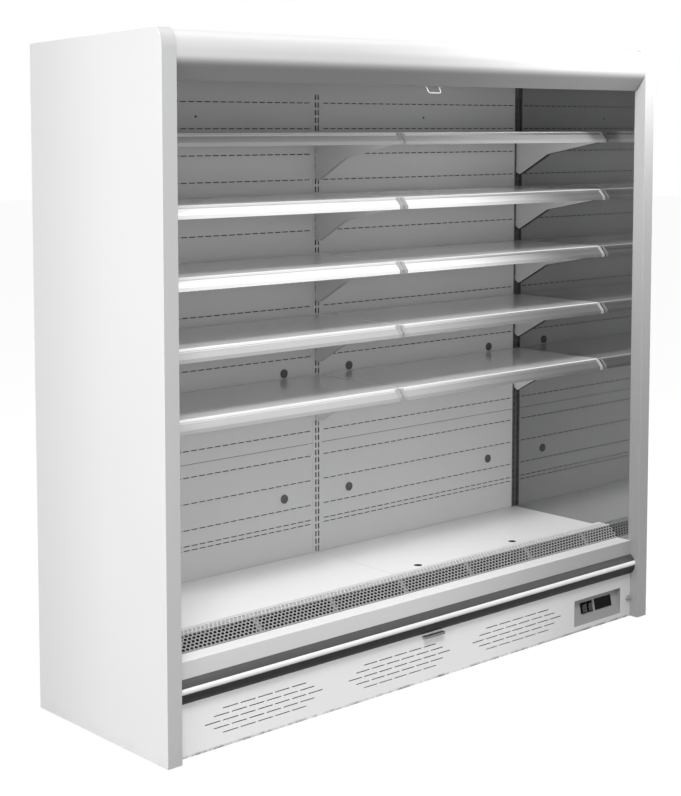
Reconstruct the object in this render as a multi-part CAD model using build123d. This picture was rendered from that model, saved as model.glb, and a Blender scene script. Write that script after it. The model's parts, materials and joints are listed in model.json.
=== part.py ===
from build123d import *
import math
import os

# Open multideck display fridge. Millimetres, +Z up, front towards -Y, +X to the right.
# The origin is on the floor under the middle of the cabinet.

# ---- Overall envelope -------------------------------------------------------
overall_width = 2100.0
overall_depth = 645.0
overall_height = 2000.0
rear_height_drop = 22.0        # the side's top edge falls this much towards the rear
end_thickness = 50.0           # end wall with its mirror lining
sheet = 1.5                    # folded steel sheet
liner_sheet = 1.5
mirror_thickness = 3.0
skin = 1.5                     # outer steel skin that runs past the front trim

# ---- Walls, tub and roof ----------------------------------------------------
rear_wall_thickness = 38.0
air_duct_depth = 23.5          # between the rear wall and the perforated liner
tub_wall = 30.0
tub_floor_top = 202.0
tub_front = 62.0               # front of the tub's front wall, back from the front plane
roof_underside = 1940.0
roof_front = 58.0
roof_flat = 32.0               # level strip that the canopy's rear edge lies on
panel_floor_gap = 4.0
trim_floor_gap = 3.0

# ---- Front trims and canopy -------------------------------------------------
trim_depth = 45.0
trim_wall = 2.0
nose_depth = 30.0              # rounded top front corner, front to back
nose_height = 55.0             # rounded top front corner, top to bottom
canopy_setback = 2.0           # behind the trims' front
canopy_step = 4.0              # below the trims' top
canopy_sheet = 2.0
canopy_lip = 1862.0
canopy_chin_radius = 40.0
canopy_chin_angle = 35.0       # under-face, from upright
canopy_chin_top = 1925.0
canopy_hem = 6.0
ceiling = 1885.0
honeycomb_height = 20.0
honeycomb_depth = 40.0
honeycomb_cell = 16.0
honeycomb_wall = 3.0
closure_front = 56.0           # upright plate in front of the air outlet
ear_thickness = 4.0
lamp_width = 22.0
lamp_height = 14.0
lamp_gap = 10.0
lamp_end_gap = 50.0

# ---- Base -------------------------------------------------------------------
frame_underside = 22.0
rail_width = 40.0
rail_height = 26.0
rail_wall = 2.5
rail_front = 45.0
base_tray = 2.0
foot_radius = 19.0
foot_height = 7.0
foot_stem = 6.0
foot_nut = 10.0
foot_nut_height = 8.0
foot_inset = 43.0              # from the end panel's inner face

# ---- Front panels and bumper ------------------------------------------------
kick_front = 34.0
kick_bottom = 3.0
kick_top = 157.0
kick_flange = 24.0
ledge_top = 276.0
ledge_rear = 92.0
bumper_height = 70.0
bumper_depth = 21.0
insert_middle = 198.0
insert_height = 18.0
insert_depth = 6.0
insert_proud = 1.5
front_gap = 0.5                # between a front panel's end and the trim

# ---- Kick plate vents -------------------------------------------------------
vent_rows = [5, 6, 7, 6, 5]    # slots in each row of one group
vent_slot_length = 55.0
vent_slot_height = 3.2
vent_pitch = 63.7
vent_row_pitch = 17.5
vent_lowest_row = 44.0
vent_first_centre = 321.0      # from the left inner face
vent_group_pitch = 541.5

# ---- Blind catch, knob ------------------------------------------------------
catch_width = 90.0
catch_reach = 13.0
catch_drop = 8.0
catch_z = 151.0
knob_radius = 10.0
knob_height = 9.0
knob_shaft = 4.0
knob_z = 72.0
knob_from_end = 15.0
knob_grip = 2.5
cam_length = 24.0
cam_width = 12.0
running_gap = 0.05             # radial gap of a shaft in its bore

# ---- Control plate ----------------------------------------------------------
control_width = 251.0
control_bottom = 24.0
control_height = 91.0
control_recess = 18.0          # how far the top edge lies behind the bottom edge
control_from_end = 55.0
display_width = 88.0
display_height = 38.0
display_left = 121.0           # from the plate's left edge
display_low = 36.0             # up the tilted plate
display_body = 55.0
display_proud = 2.5
display_inset = 4.0            # body inside the bezel's edge
switch_inset = 2.5
switch_width = 29.0
switch_height = 38.0
switch_left = 45.0
switch_pitch = 33.0
switch_body = 22.0
rocker_width = 20.4
rocker_half = 13.5
rocker_gap = 0.3
rocker_rest_tilt = 6.0
rocker_pivot_depth = 4.0
rocker_pin = 1.5

# ---- Return-air grille and deck --------------------------------------------
deck_top = 305.0
grille_top = 316.0
grille_rear = 178.5
grille_bend = 130.0
grille_foot = 93.0
hole_length = 11.0
hole_height = 8.5
hole_pitch = 15.0
hole_row_pitch = 9.8
grille_sections = 4
grille_end_margin = 8.0
grille_flange_rows = 3
grille_face_rows = 5
deck_gap = 1.5
deck_flange = 16.0
finger_hole = 14.0             # radius
finger_hole_depth = 234.0      # back from the front plane
finger_hole_first = 135.0      # from the cabinet's middle
finger_hole_pitch = 461.0
liner_foot = 20.0

# ---- Slotted posts, liner ---------------------------------------------------
slot_pitch = 25.3
slot_height = 18.0
slot_width = 5.0
slot_offset = 6.0              # slot column to the middle post's axis
end_slot_offset = 10.0         # slot column to the mirror's face
slot_drop = 12.0               # first slot centre under a shelf's top
lowest_slot = 310.0
highest_slot = 1840.0
post_half = 20.0
post_sheet = 2.0
post_proud = 1.0
dash_length = 24.0
dash_height = 3.0
dash_pitch = 31.6
dash_margin = 27.0             # from the post's axis to the first dash
dash_first_row = 469.0
dash_row_pitch = 84.2
dash_twin_rows = [404.0, 418.0]
seam_height = 679.0
plug_radius = 15.0
plug_height = 3.0
plug_stem = 7.0
plug_offset = 145.0            # from the cabinet's middle, and from the end slot column
plug_heights = [508.0, 928.0]
screw_radius = 4.0
screw_height = 1770.0
hole_gap = 0.3

# ---- Shelves ----------------------------------------------------------------
first_shelf = 911.2            # top of the lowest shelf
shelf_slot_steps = 8           # slots from one shelf to the next
shelf_front = 194.0
shelf_rear_gap = 6.5
shelf_end_gap = 3.0
shelf_lip = 30.0
shelf_lip_angle = 41.0         # from upright
shelf_rear_flange = 25.0
shelf_headroom = 100.0
rail_start = 7.0               # down the shelf's sloping lip
rail_slope_length = 31.0
rail_drop = 11.0
rail_thickness = 3.0
cap_width = 15.0
cap_thickness = 4.0
bracket_thickness = 2.5
bracket_heel = 157.0
bracket_heel_depth = 16.0
bracket_knee_drop = 81.0
bracket_knee = 150.0           # from the heel to the knee, measured forwards
bracket_nose_drop = 36.0
hook_height = 14.0
hook_reach = 7.0

# ---- Night blind ------------------------------------------------------------
blind_roll_radius = 20.0
blind_roll_depth = 27.0        # roller axis, back from the front plane
blind_roll_height = 1935.0
blind_pin = 5.0
blind_end_gap = 15.0
bar_depth = 10.0
bar_height = 12.0
bar_end_gap = 12.0
bar_clear = 1.0                # bar's underside above the canopy's lip
fabric = 0.8
fabric_gap = 0.3
handle_width = 54.0
handle_wire = 2.0
handle_drop = 24.0
handle_reach = 15.0
handle_bend = 8.0

# ---- Refrigeration ----------------------------------------------------------
fan_frame = 120.0
fan_frame_depth = 25.0
fan_radius = 55.0
fan_hub = 20.0
fan_blade_depth = 16.0
fan_shaft = 3.0
fan_tip_gap = 2.0
fan_blades = 5
fan_plate_front = 150.0
fan_plate_rear = 262.0
fan_plate_land = 22.0
fan_pitch = 480.0
fan_count = 3
coil_front = 300.0
coil_depth = 240.0
coil_half = 900.0
coil_height = 90.0
fin_pitch = 24.0
fin_thickness = 1.6
fin_web = 4.0
header_width = 22.0
compressor_radius = 48.0
compressor_length = 290.0
compressor_centre = 300.0
compressor_depth = 330.0
condenser_left = -620.0
condenser_width = 380.0
condenser_front = 90.0
condenser_depth = 60.0
condenser_height = 98.0
condenser_end = 10.0           # end plates outside the fins
condenser_fan_radius = 42.0
condenser_duct = 34.0
tray_left = -720.0
tray_width = 400.0
tray_front = 400.0
tray_depth = 150.0
tray_height = 24.0
pipe_radius = 5.0
pipe_bend = 24.0
pipe_gap = 32.0                # from the coil's end to the suction pipe, and on to the liquid pipe
pipe_run = 60.0                # height of the pipes above the base tray
suction_depth = 500.0
liquid_depth = 440.0
discharge_depth = 235.0
condenser_port_depth = 120.0
drain_radius = 10.0
drain_wall = 2.0
box_width = 190.0
box_depth = 90.0
box_height = 80.0
box_from_end = 60.0
gland_radius = 11.0
gland_length = 12.0
gland_from_end = 150.0
gland_height = 110.0
vent_panel_inset = 14.0
louvre_length = 60.0
louvre_height = 5.0
louvre_pitch = 80.0
louvre_row_pitch = 16.0
louvre_rows = 4
louvre_margin = 60.0

# ---- Places worked out from the sizes ---------------------------------------
half_width = overall_width / 2
inner_half = half_width - end_thickness
core_half = inner_half + mirror_thickness
rear_wall_front = overall_depth - rear_wall_thickness
liner_back = rear_wall_front - air_duct_depth
liner_face = liner_back - liner_sheet
canopy_top = overall_height - canopy_step
bar_bottom = canopy_lip + bar_clear
tray_top = frame_underside + rail_height + base_tray
tub_underside = tub_floor_top - tub_wall
rear_rail_front = overall_depth - rail_width
post_front = liner_face - post_proud
shelf_step = shelf_slot_steps * slot_pitch
shelf_rear = liner_face - shelf_rear_gap
shelf_count = int((canopy_lip - shelf_headroom - first_shelf) / shelf_step) + 1
shelf_tops = [first_shelf + shelf_step * n for n in reversed(range(shelf_count))]
end_column = inner_half - end_slot_offset
slot_columns = [-end_column, -slot_offset, slot_offset, end_column]
strip_front = blind_roll_depth + blind_roll_radius + fabric_gap
bar_front = strip_front + fabric / 2 - bar_depth / 2
control_right = inner_half - control_from_end
control_left = control_right - control_width


# ---- Helpers ----------------------------------------------------------------
def from_front(depth):
    return depth - overall_depth / 2


def block(x, y, z):
    """A box between pairs of bounds; y is counted back from the front plane."""
    size = [high - low for low, high in (x, y, z)]
    centre = [(low + high) / 2 for low, high in (x, y, z)]
    return Pos(centre[0], from_front(centre[1]), centre[2]) * Box(*size)


def side_profile(points, x):
    """A polygon of (depth, height) points, drawn out along X between two bounds."""
    corners = [Vector(x[0], from_front(depth), height) for depth, height in points]
    face = Face(Wire.make_polygon(corners, close=True))
    return Solid.extrude(face, Vector(x[1] - x[0], 0, 0))


def thickened(path, thickness):
    """The closed outline of a folded sheet: the path and its mitred offset to the left."""
    normals = []
    for (y0, z0), (y1, z1) in zip(path, path[1:]):
        length = math.hypot(y1 - y0, z1 - z0)
        normals.append(((z0 - z1) / length, (y1 - y0) / length))
    offset = []
    for i, (y, z) in enumerate(path):
        before = normals[max(i - 1, 0)]
        after = normals[min(i, len(normals) - 1)]
        scale = thickness / (1 + before[0] * after[0] + before[1] * after[1])
        offset.append((y + (before[0] + after[0]) * scale, z + (before[1] + after[1]) * scale))
    return path + offset[::-1]


def folded(path, thickness, x):
    return side_profile(thickened(path, thickness), x)


def rod(radius, x, depth, height):
    """A round bar along X."""
    start = Plane(origin=(x[0], from_front(depth), height), z_dir=(1, 0, 0))
    return Solid.make_cylinder(radius, x[1] - x[0], start)


def post_pin(radius, x, depth, z):
    """A round bar along Z."""
    start = Plane(origin=(x, from_front(depth), z[0]), z_dir=(0, 0, 1))
    return Solid.make_cylinder(radius, z[1] - z[0], start)


def stub(radius, x, y, height):
    """A round bar along Y."""
    start = Plane(origin=(x, from_front(y[0]), height), z_dir=(0, 1, 0))
    return Solid.make_cylinder(radius, y[1] - y[0], start)


def regular_wire(centre, radius, sides):
    turn = 2 * math.pi / sides
    corners = []
    for i in range(sides):
        angle = turn * (i + 0.5)
        corners.append(Vector(centre[0] + radius * math.cos(angle), centre[1] + radius * math.sin(angle), 0))
    return Wire.make_polygon(corners, close=True)


def rectangle_wire(low, high):
    corners = [(low[0], low[1], 0), (high[0], low[1], 0), (high[0], high[1], 0), (low[0], high[1], 0)]
    return Wire.make_polygon([Vector(*corner) for corner in corners], close=True)


def slot_wire(centre, length, height):
    reach = (length / 2, height / 2)
    low = (centre[0] - reach[0], centre[1] - reach[1])
    high = (centre[0] + reach[0], centre[1] + reach[1])
    return rectangle_wire(low, high)


def pierced_plate(low, high, holes, thickness, plane):
    """A flat plate with holes, drawn in the plane and thickened along its normal."""
    face = Face(rectangle_wire(low, high), holes)
    return Solid.extrude(face, Vector(0, 0, thickness)).moved(plane.location)


def upright_plate(x, z, holes, depth, thickness):
    """A pierced plate that faces front; depth is its rear face, and holes are in (X, Z)."""
    plane = Plane(origin=(0, from_front(depth), 0), x_dir=(1, 0, 0), z_dir=(0, -1, 0))
    return pierced_plate((x[0], z[0]), (x[1], z[1]), holes, thickness, plane)


def spread(first, last, pitch):
    """Evenly pitched places between two bounds, centred on them."""
    if last <= first:
        return []
    gaps = int((last - first) / pitch)
    start = (first + last - gaps * pitch) / 2
    return [start + pitch * i for i in range(gaps + 1)]


def mirrored(shape):
    return shape.mirror(Plane.YZ)


def top_edge(depth):
    """Height of the side panel's top edge."""
    return overall_height - rear_height_drop * max(depth - nose_depth, 0) / (overall_depth - nose_depth)


def nose_edges(x, crown, bottom_z, setback, inset):
    """Outer line of the rounded top front corner: up the front and over the nose."""
    radius_y = nose_depth - setback - inset
    radius_z = nose_height - inset
    centre_z = crown - nose_height
    plane = Plane(origin=(x, from_front(nose_depth), centre_z), x_dir=(0, 1, 0), z_dir=(1, 0, 0))
    arc = Edge.make_ellipse(radius_y, radius_z, plane=plane, start_angle=90, end_angle=180)
    front_y = from_front(setback + inset)
    upright = Edge.make_line((x, front_y, bottom_z), (x, front_y, centre_z))
    return upright, arc


def side_outline(x, rear, floor_gap):
    """Face of the side panel or trim, from the front plane back to a depth."""
    upright, arc = nose_edges(x[0], overall_height, floor_gap, 0, 0)
    corners = [(nose_depth, overall_height), (rear, top_edge(rear)), (rear, floor_gap), (0, floor_gap)]
    points = [Vector(x[0], from_front(depth), height) for depth, height in corners]
    lines = [Edge.make_line(a, b) for a, b in zip(points, points[1:])]
    face = Face(Wire.combine([upright, arc] + lines)[0])
    return Solid.extrude(face, Vector(x[1] - x[0], 0, 0))


# ---- Base -------------------------------------------------------------------
def foot_places():
    foot_x = core_half - foot_inset
    depths = [rail_front + rail_width / 2, rear_rail_front + rail_width / 2]
    return [(x, depth) for depth in depths for x in (-foot_x, 0, foot_x)]


def base_frame():
    z = (frame_underside, frame_underside + rail_height)
    inner_z = (z[0] + rail_wall, z[1] - rail_wall)
    rails = []
    for y in ((rail_front, rail_front + rail_width), (rear_rail_front, overall_depth)):
        tube = block((-core_half, core_half), y, z)
        bore = block((-core_half, core_half), (y[0] + rail_wall, y[1] - rail_wall), inner_z)
        rails.append(tube - bore)
    for x in (-core_half + foot_inset, 0, core_half - foot_inset):
        span = (x - rail_width / 2, x + rail_width / 2)
        inner = (span[0] + rail_wall, span[1] - rail_wall)
        y = (rail_front + rail_width, rear_rail_front)
        rails.append(block(span, y, z) - block(inner, y, inner_z))
    tray = block((-core_half, core_half), (rail_front, overall_depth), (z[1], tray_top))
    frame = rails[0].fuse(*rails[1:], tray)
    for x, depth in foot_places():
        frame -= post_pin(foot_stem + hole_gap, x, depth, (z[0] - 1, inner_z[0] + 1))
    return frame


def levelling_feet():
    feet = []
    for x, depth in foot_places():
        pad = post_pin(foot_radius, x, depth, (0, foot_height))
        stem = post_pin(foot_stem, x, depth, (0, frame_underside + rail_height / 2))
        nut_plane = Plane(origin=(x, from_front(depth), frame_underside - foot_nut_height))
        nut_face = Face(regular_wire((0, 0), foot_nut, 6))
        nut = Solid.extrude(nut_face, Vector(0, 0, foot_nut_height)).moved(nut_plane.location)
        feet.append(pad.fuse(stem, nut))
    return feet


def insulated_tub():
    profile = [
        (tub_front, tub_underside),
        (rear_wall_front, tub_underside),
        (rear_wall_front, tub_floor_top),
        (tub_front + tub_wall, tub_floor_top),
        (tub_front + tub_wall, ledge_top - sheet),
        (tub_front, ledge_top - sheet),
    ]
    tub = side_profile(profile, (-inner_half, inner_half))
    z = (tub_underside - 1, tub_floor_top + 1)
    for x, depth in pipe_places():
        tub -= post_pin(pipe_radius + hole_gap, x, depth, z)
    return tub - post_pin(drain_radius + hole_gap, drain_x(), drain_depth(), z)


def rear_wall():
    return block((-core_half, core_half), (rear_wall_front, overall_depth), (tub_underside, roof_underside))


def rear_vent_panel():
    depth = overall_depth - vent_panel_inset
    middle = (tray_top + tub_underside) / 2
    rows = [middle + louvre_row_pitch * (i - (louvre_rows - 1) / 2) for i in range(louvre_rows)]
    gland_x = inner_half - gland_from_end
    columns = spread(-core_half + louvre_margin, gland_x - louvre_margin, louvre_pitch)
    holes = [slot_wire((x, z), louvre_length, louvre_height) for x in columns for z in rows]
    holes.append(regular_wire((gland_x, gland_height), gland_radius, 24))
    return upright_plate((-core_half, core_half), (tray_top, tub_underside), holes, depth, sheet)


def power_inlet():
    x = inner_half - gland_from_end
    rear_face = overall_depth - vent_panel_inset
    face = rear_face - sheet
    barrel = stub(gland_radius - 1, x, (face - 6, rear_face + gland_length), gland_height)
    collar = stub(gland_radius + 4, x, (rear_face, rear_face + 4), gland_height)
    nut = stub(gland_radius + 3, x, (face - 5, face), gland_height)
    bore = stub(gland_radius - 5, x, (face - 7, rear_face + gland_length + 1), gland_height)
    return barrel.fuse(collar, nut) - bore


# ---- Casing -----------------------------------------------------------------
def left_end_panel():
    outer = side_outline((-half_width, -half_width + skin), overall_depth, panel_floor_gap)
    core = [
        (trim_depth, panel_floor_gap),
        (overall_depth, panel_floor_gap),
        (overall_depth, top_edge(overall_depth)),
        (trim_depth, top_edge(trim_depth)),
    ]
    return outer.fuse(side_profile(core, (-half_width + skin, -core_half)))


def left_front_trim():
    trim = side_outline((-half_width + skin, -inner_half), trim_depth, trim_floor_gap)
    y = (trim_wall, trim_depth - trim_wall)
    z = (trim_floor_gap + trim_wall, overall_height - nose_height)
    return trim - block((-half_width + skin + trim_wall, -inner_half - trim_wall), y, z)


def mirror_linings():
    y = (trim_depth, liner_face)
    lining = block((-core_half, -inner_half), y, (kick_top, roof_underside))
    return [lining, mirrored(lining)]


def roof_panel():
    roof_top = canopy_top - canopy_sheet
    lip_rear = roof_front + roof_flat
    rear_top = roof_top - (top_edge(lip_rear) - top_edge(overall_depth))
    profile = [
        (roof_front, roof_underside),
        (overall_depth, roof_underside),
        (overall_depth, rear_top),
        (lip_rear, roof_top),
        (roof_front, roof_top),
    ]
    return side_profile(profile, (-core_half, core_half))


def canopy_line(x, inset):
    """One side of the canopy sheet, from its chin round the nose to its rear edge."""
    top = canopy_top - inset
    upright, arc = nose_edges(x, canopy_top, canopy_chin_top, canopy_setback, inset)
    radius = canopy_chin_radius - inset
    centre = (canopy_setback + canopy_chin_radius, canopy_chin_top)
    angle = math.radians(canopy_chin_angle)
    bend = []
    for turn in (0, angle / 2, angle):
        depth = centre[0] - radius * math.cos(turn)
        bend.append(Vector(x, from_front(depth), centre[1] - radius * math.sin(turn)))
    chin = Edge.make_three_point_arc(bend[0], bend[1], bend[2])
    lip_z = canopy_lip + inset * math.sin(angle)
    run = (bend[2].Z - lip_z) / math.cos(angle)
    lip = Vector(x, bend[2].Y + run * math.sin(angle), lip_z)
    under = Edge.make_line(lip, bend[2])
    rear = Vector(x, from_front(roof_front + roof_flat), top)
    over = Edge.make_line(Vector(x, from_front(nose_depth), top), rear)
    return [under, chin, upright, arc, over], lip, rear


def canopy_cover():
    x = -inner_half
    outer, outer_lip, outer_rear = canopy_line(x, 0)
    inner, inner_lip, inner_rear = canopy_line(x, canopy_sheet)
    hem_outer = outer_lip + Vector(0, canopy_hem / 2, 0)
    hem_top = Vector(x, hem_outer.Y, outer_lip.Z + canopy_hem)
    hem_inner = Vector(x, inner_lip.Y, hem_top.Z)
    ends = [
        Edge.make_line(outer_rear, inner_rear),
        Edge.make_line(outer_lip, hem_outer),
        Edge.make_line(hem_outer, hem_top),
        Edge.make_line(hem_top, hem_inner),
        Edge.make_line(hem_inner, inner_lip),
    ]
    face = Face(Wire.combine(outer + inner + ends)[0])
    return Solid.extrude(face, Vector(2 * inner_half, 0, 0))


def canopy_duct():
    outlet_rear = closure_front + 2 * sheet + honeycomb_depth
    low = ceiling - honeycomb_height / 3
    high = low + honeycomb_height
    ends = (inner_half - ear_thickness, inner_half)
    x = (-inner_half, inner_half)
    closure = block(x, (closure_front, closure_front + sheet), (low, roof_underside))
    plate = block(x, (outlet_rear - sheet, liner_face), (ceiling, ceiling + sheet))
    curb = block(x, (outlet_rear - sheet, outlet_rear), (low, high))
    ear_points = [
        (blind_roll_depth - 2 * blind_pin, blind_roll_height - 3 * blind_pin),
        (outlet_rear, low),
        (outlet_rear, roof_underside),
        (blind_roll_depth - 2 * blind_pin, roof_underside),
    ]
    ears = []
    for side in (-1, 1):
        span = sorted((side * ends[0], side * ends[1]))
        ear = side_profile(ear_points, span)
        bore = rod(blind_pin + running_gap, (span[0] - 1, span[1] + 1), blind_roll_depth, blind_roll_height)
        ears.append(ear - bore)
    return closure.fuse(plate, curb, *ears)


def air_outlet_honeycomb():
    low = (-inner_half + ear_thickness, closure_front + sheet)
    high = (inner_half - ear_thickness, closure_front + sheet + honeycomb_depth)
    pitch = honeycomb_cell + honeycomb_wall
    rows = spread(low[1] + honeycomb_cell / 2 + 1, high[1] - honeycomb_cell / 2 - 1, pitch)
    columns = spread(low[0] + pitch, high[0] - pitch, pitch)
    holes = [slot_wire((x, y), honeycomb_cell, honeycomb_cell) for x in columns for y in rows]
    bottom = ceiling - honeycomb_height / 3
    plane = Plane(origin=(0, from_front(0), bottom), x_dir=(1, 0, 0), z_dir=(0, 0, 1))
    return pierced_plate(low, high, holes, honeycomb_height, plane)


def canopy_lamp():
    front = closure_front + 2 * sheet + honeycomb_depth + lamp_gap
    profile = [
        (front, ceiling),
        (front, ceiling - lamp_height / 2),
        (front + lamp_width / 4, ceiling - lamp_height),
        (front + lamp_width * 3 / 4, ceiling - lamp_height),
        (front + lamp_width, ceiling - lamp_height / 2),
        (front + lamp_width, ceiling),
    ]
    return side_profile(profile, (-inner_half + lamp_end_gap, inner_half - lamp_end_gap))


# ---- Front ------------------------------------------------------------------
def front_panel():
    path = [
        (ledge_rear, ledge_top),
        (kick_front, ledge_top),
        (kick_front, kick_top),
        (kick_front + kick_flange, kick_top),
    ]
    return folded(path, sheet, (-inner_half + front_gap, inner_half - front_gap))


def bumper_arc(depth, height, middle, nudge):
    """A bowed profile on the front panel's face, bulging forwards."""
    x = (-inner_half + front_gap, inner_half - front_gap)
    low = Vector(x[0], from_front(kick_front - nudge), middle - height / 2)
    high = Vector(x[0], from_front(kick_front - nudge), middle + height / 2)
    nose = Vector(x[0], from_front(kick_front - depth), middle)
    face = Face(Wire([Edge.make_three_point_arc(low, nose, high), Edge.make_line(high, low)]))
    return Solid.extrude(face, Vector(x[1] - x[0], 0, 0))


def bumper_groove():
    x = (-inner_half + front_gap, inner_half - front_gap)
    z = (insert_middle - insert_height / 2, insert_middle + insert_height / 2)
    bottom = kick_front - bumper_depth + insert_depth
    return block(x, (0, bottom), z)


def bumper():
    middle = kick_top + bumper_height / 2
    return bumper_arc(bumper_depth, bumper_height, middle, 0) - bumper_groove()


def bumper_insert():
    seat = bumper_depth - insert_depth
    return bumper_arc(bumper_depth + insert_proud, insert_height, insert_middle, seat)


def vent_holes():
    holes = []
    left = -inner_half + vent_first_centre
    longest = (max(vent_rows) - 1) * vent_pitch + vent_slot_length
    room = control_left - vent_pitch - longest / 2 - left
    groups = int(room / vent_group_pitch) + 1 if room >= 0 else 0
    for group in range(groups):
        centre = left + group * vent_group_pitch
        for row, count in enumerate(vent_rows):
            z = vent_lowest_row + row * vent_row_pitch
            for slot in range(count):
                x = centre + (slot - (count - 1) / 2) * vent_pitch
                holes.append(slot_wire((x, z), vent_slot_length, vent_slot_height))
    return holes


def knob_x():
    return inner_half - knob_from_end


def kick_plate():
    x = (-inner_half + front_gap, inner_half - front_gap)
    control = rectangle_wire(
        (control_left, control_bottom), (control_right, control_bottom + control_height))
    holes = vent_holes() + [control]
    top = kick_top - sheet
    face = upright_plate(x, (kick_bottom, top + sheet), holes, kick_front + sheet, sheet)
    flange = block(x, (kick_front + sheet, kick_front + kick_flange), (top, kick_top))
    foot = block(x, (kick_front + sheet, rail_front), (kick_bottom, kick_bottom + sheet))
    catch_front = kick_front - catch_reach
    catch_path = [(kick_front, catch_z), (catch_front, catch_z), (catch_front, catch_z - catch_drop)]
    catch = folded(catch_path, sheet, (-catch_width / 2, catch_width / 2))
    plate = face.fuse(flange, foot, catch)
    bore = stub(knob_shaft + running_gap, knob_x(), (kick_front - 1, kick_front + sheet + 1), knob_z)
    return plate - bore


def kick_plate_knob():
    x = knob_x()
    face = kick_front - running_gap
    head = stub(knob_radius, x, (face - knob_height, face), knob_z)
    grip = block((x - knob_radius, x + knob_radius),
                 (face - knob_height - 1, face - knob_height / 2),
                 (knob_z + knob_grip, knob_z + knob_radius))
    lower = block((x - knob_radius, x + knob_radius),
                  (face - knob_height - 1, face - knob_height / 2),
                  (knob_z - knob_radius, knob_z - knob_grip))
    rear = kick_front + sheet + running_gap
    shaft = stub(knob_shaft, x, (face - 1, rear + 2 * sheet), knob_z)
    cam = block((x - cam_width / 2, x + cam_width / 2), (rear, rear + 2 * sheet),
                (knob_z - cam_length, knob_z + cam_width / 2))
    return (head - grip - lower).fuse(shaft, cam)


def control_tilt():
    return math.atan2(control_recess, control_height)


def control_plane():
    """Origin at the tilted plate's lower left corner, local y up the plate, z out of it."""
    tilt = control_tilt()
    origin = (control_left, from_front(kick_front), control_bottom)
    return Plane(origin=origin, x_dir=(1, 0, 0), z_dir=(0, -math.cos(tilt), math.sin(tilt)))


def local_block(x, y, z):
    size = [high - low for low, high in (x, y, z)]
    centre = [(low + high) / 2 for low, high in (x, y, z)]
    shape = Pos(*centre) * Box(*size)
    return shape.moved(control_plane().location)


def unit_spans(index):
    """Outline of the display (0) or a switch (1, 2) up and across the plate, and its body's inset."""
    if index == 0:
        x = (display_left, display_left + display_width)
        return x, (display_low, display_low + display_height), display_inset
    left = switch_left + (index - 1) * switch_pitch
    return (left, left + switch_width), (display_low, display_low + switch_height), switch_inset


def shrunk(span, inset):
    return (span[0] + inset, span[1] - inset)


def control_plate():
    x = (control_left, control_right)
    top = control_bottom + control_height
    outer = [
        (kick_front, control_bottom),
        (kick_front + sheet, control_bottom),
        (kick_front + control_recess + sheet, top),
        (kick_front, top),
    ]
    slope = control_recess / control_height
    pocket = [
        (kick_front - 1, control_bottom),
        (kick_front, control_bottom),
        (kick_front + slope * (control_height - sheet), top - sheet),
        (kick_front - 1, top - sheet),
    ]
    tray = side_profile(outer, x) - side_profile(pocket, (x[0] + sheet, x[1] - sheet))
    for index in (0, 1, 2):
        hole_x, hole_y, inset = unit_spans(index)
        inset -= hole_gap
        tray -= local_block(shrunk(hole_x, inset), shrunk(hole_y, inset), (-4 * sheet, 1))
    return tray


def rocker_axis(index):
    """Middle of the rocker's pin, in the control plate's own plane."""
    x, y, _ = unit_spans(index)
    return (sum(x) / 2, sum(y) / 2, display_proud - rocker_pivot_depth)


def control_units():
    x, y, inset = unit_spans(0)
    bezel = local_block(x, y, (0, display_proud))
    window = local_block(shrunk(x, 8), (y[0] + 12, y[1] - 6), (display_proud - 1, display_proud + 1))
    body = local_block(shrunk(x, inset), shrunk(y, inset), (-display_body, 0))
    units = [bezel.fuse(body) - window]
    for index in (1, 2):
        x, y, inset = unit_spans(index)
        frame = local_block(x, y, (0, display_proud))
        body = local_block(shrunk(x, inset), shrunk(y, inset), (-switch_body, 0))
        half_well = rocker_width / 2 + rocker_gap
        middle = rocker_axis(index)
        well_x = (middle[0] - half_well, middle[0] + half_well)
        well_y = (middle[1] - rocker_half - 2, middle[1] + rocker_half + 2)
        well = local_block(well_x, well_y, (-switch_body / 2, display_proud + 1))
        pin = Plane(origin=(x[0] - 1, middle[1], middle[2]), x_dir=(0, 1, 0), z_dir=(1, 0, 0))
        bore = Solid.make_cylinder(rocker_pin + running_gap, switch_width + 2, pin)
        units.append(frame.fuse(body) - well - bore.moved(control_plane().location))
    return units


def rocker(index):
    middle = rocker_axis(index)
    profile = [
        (-rocker_half, 10.0),
        (0, 7.0),
        (rocker_half, 10.0),
        (rocker_half - 4, -4.0),
        (4 - rocker_half, -4.0),
    ]
    tilt = math.radians(rocker_rest_tilt)
    points = []
    for y, z in profile:
        turned = (y * math.cos(tilt) - z * math.sin(tilt), y * math.sin(tilt) + z * math.cos(tilt))
        points.append(Vector(middle[0] - rocker_width / 2, middle[1] + turned[0], middle[2] + turned[1]))
    face = Face(Wire.make_polygon(points, close=True))
    paddle = Solid.extrude(face, Vector(rocker_width, 0, 0))
    reach = rocker_width / 2 + rocker_gap + 1.5
    pin_plane = Plane(origin=(middle[0] - reach, middle[1], middle[2]), x_dir=(0, 1, 0), z_dir=(1, 0, 0))
    pin = Solid.make_cylinder(rocker_pin, 2 * reach, pin_plane)
    return paddle.fuse(pin).moved(control_plane().location)


# ---- Deck and return-air grille ---------------------------------------------
def staggered_holes(x, first, rows, lag):
    """Rows of holes up a plate; every other row is shifted by half a pitch."""
    holes = []
    for row in range(rows):
        shift = hole_pitch / 2 * ((row + lag) % 2)
        low = x[0] + grille_end_margin + hole_length / 2
        high = x[1] - grille_end_margin - hole_length / 2 - hole_pitch / 2
        for place in spread(low, high, hole_pitch):
            holes.append(slot_wire((place + shift, first + row * hole_row_pitch), hole_length, hole_height))
    return holes


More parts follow.
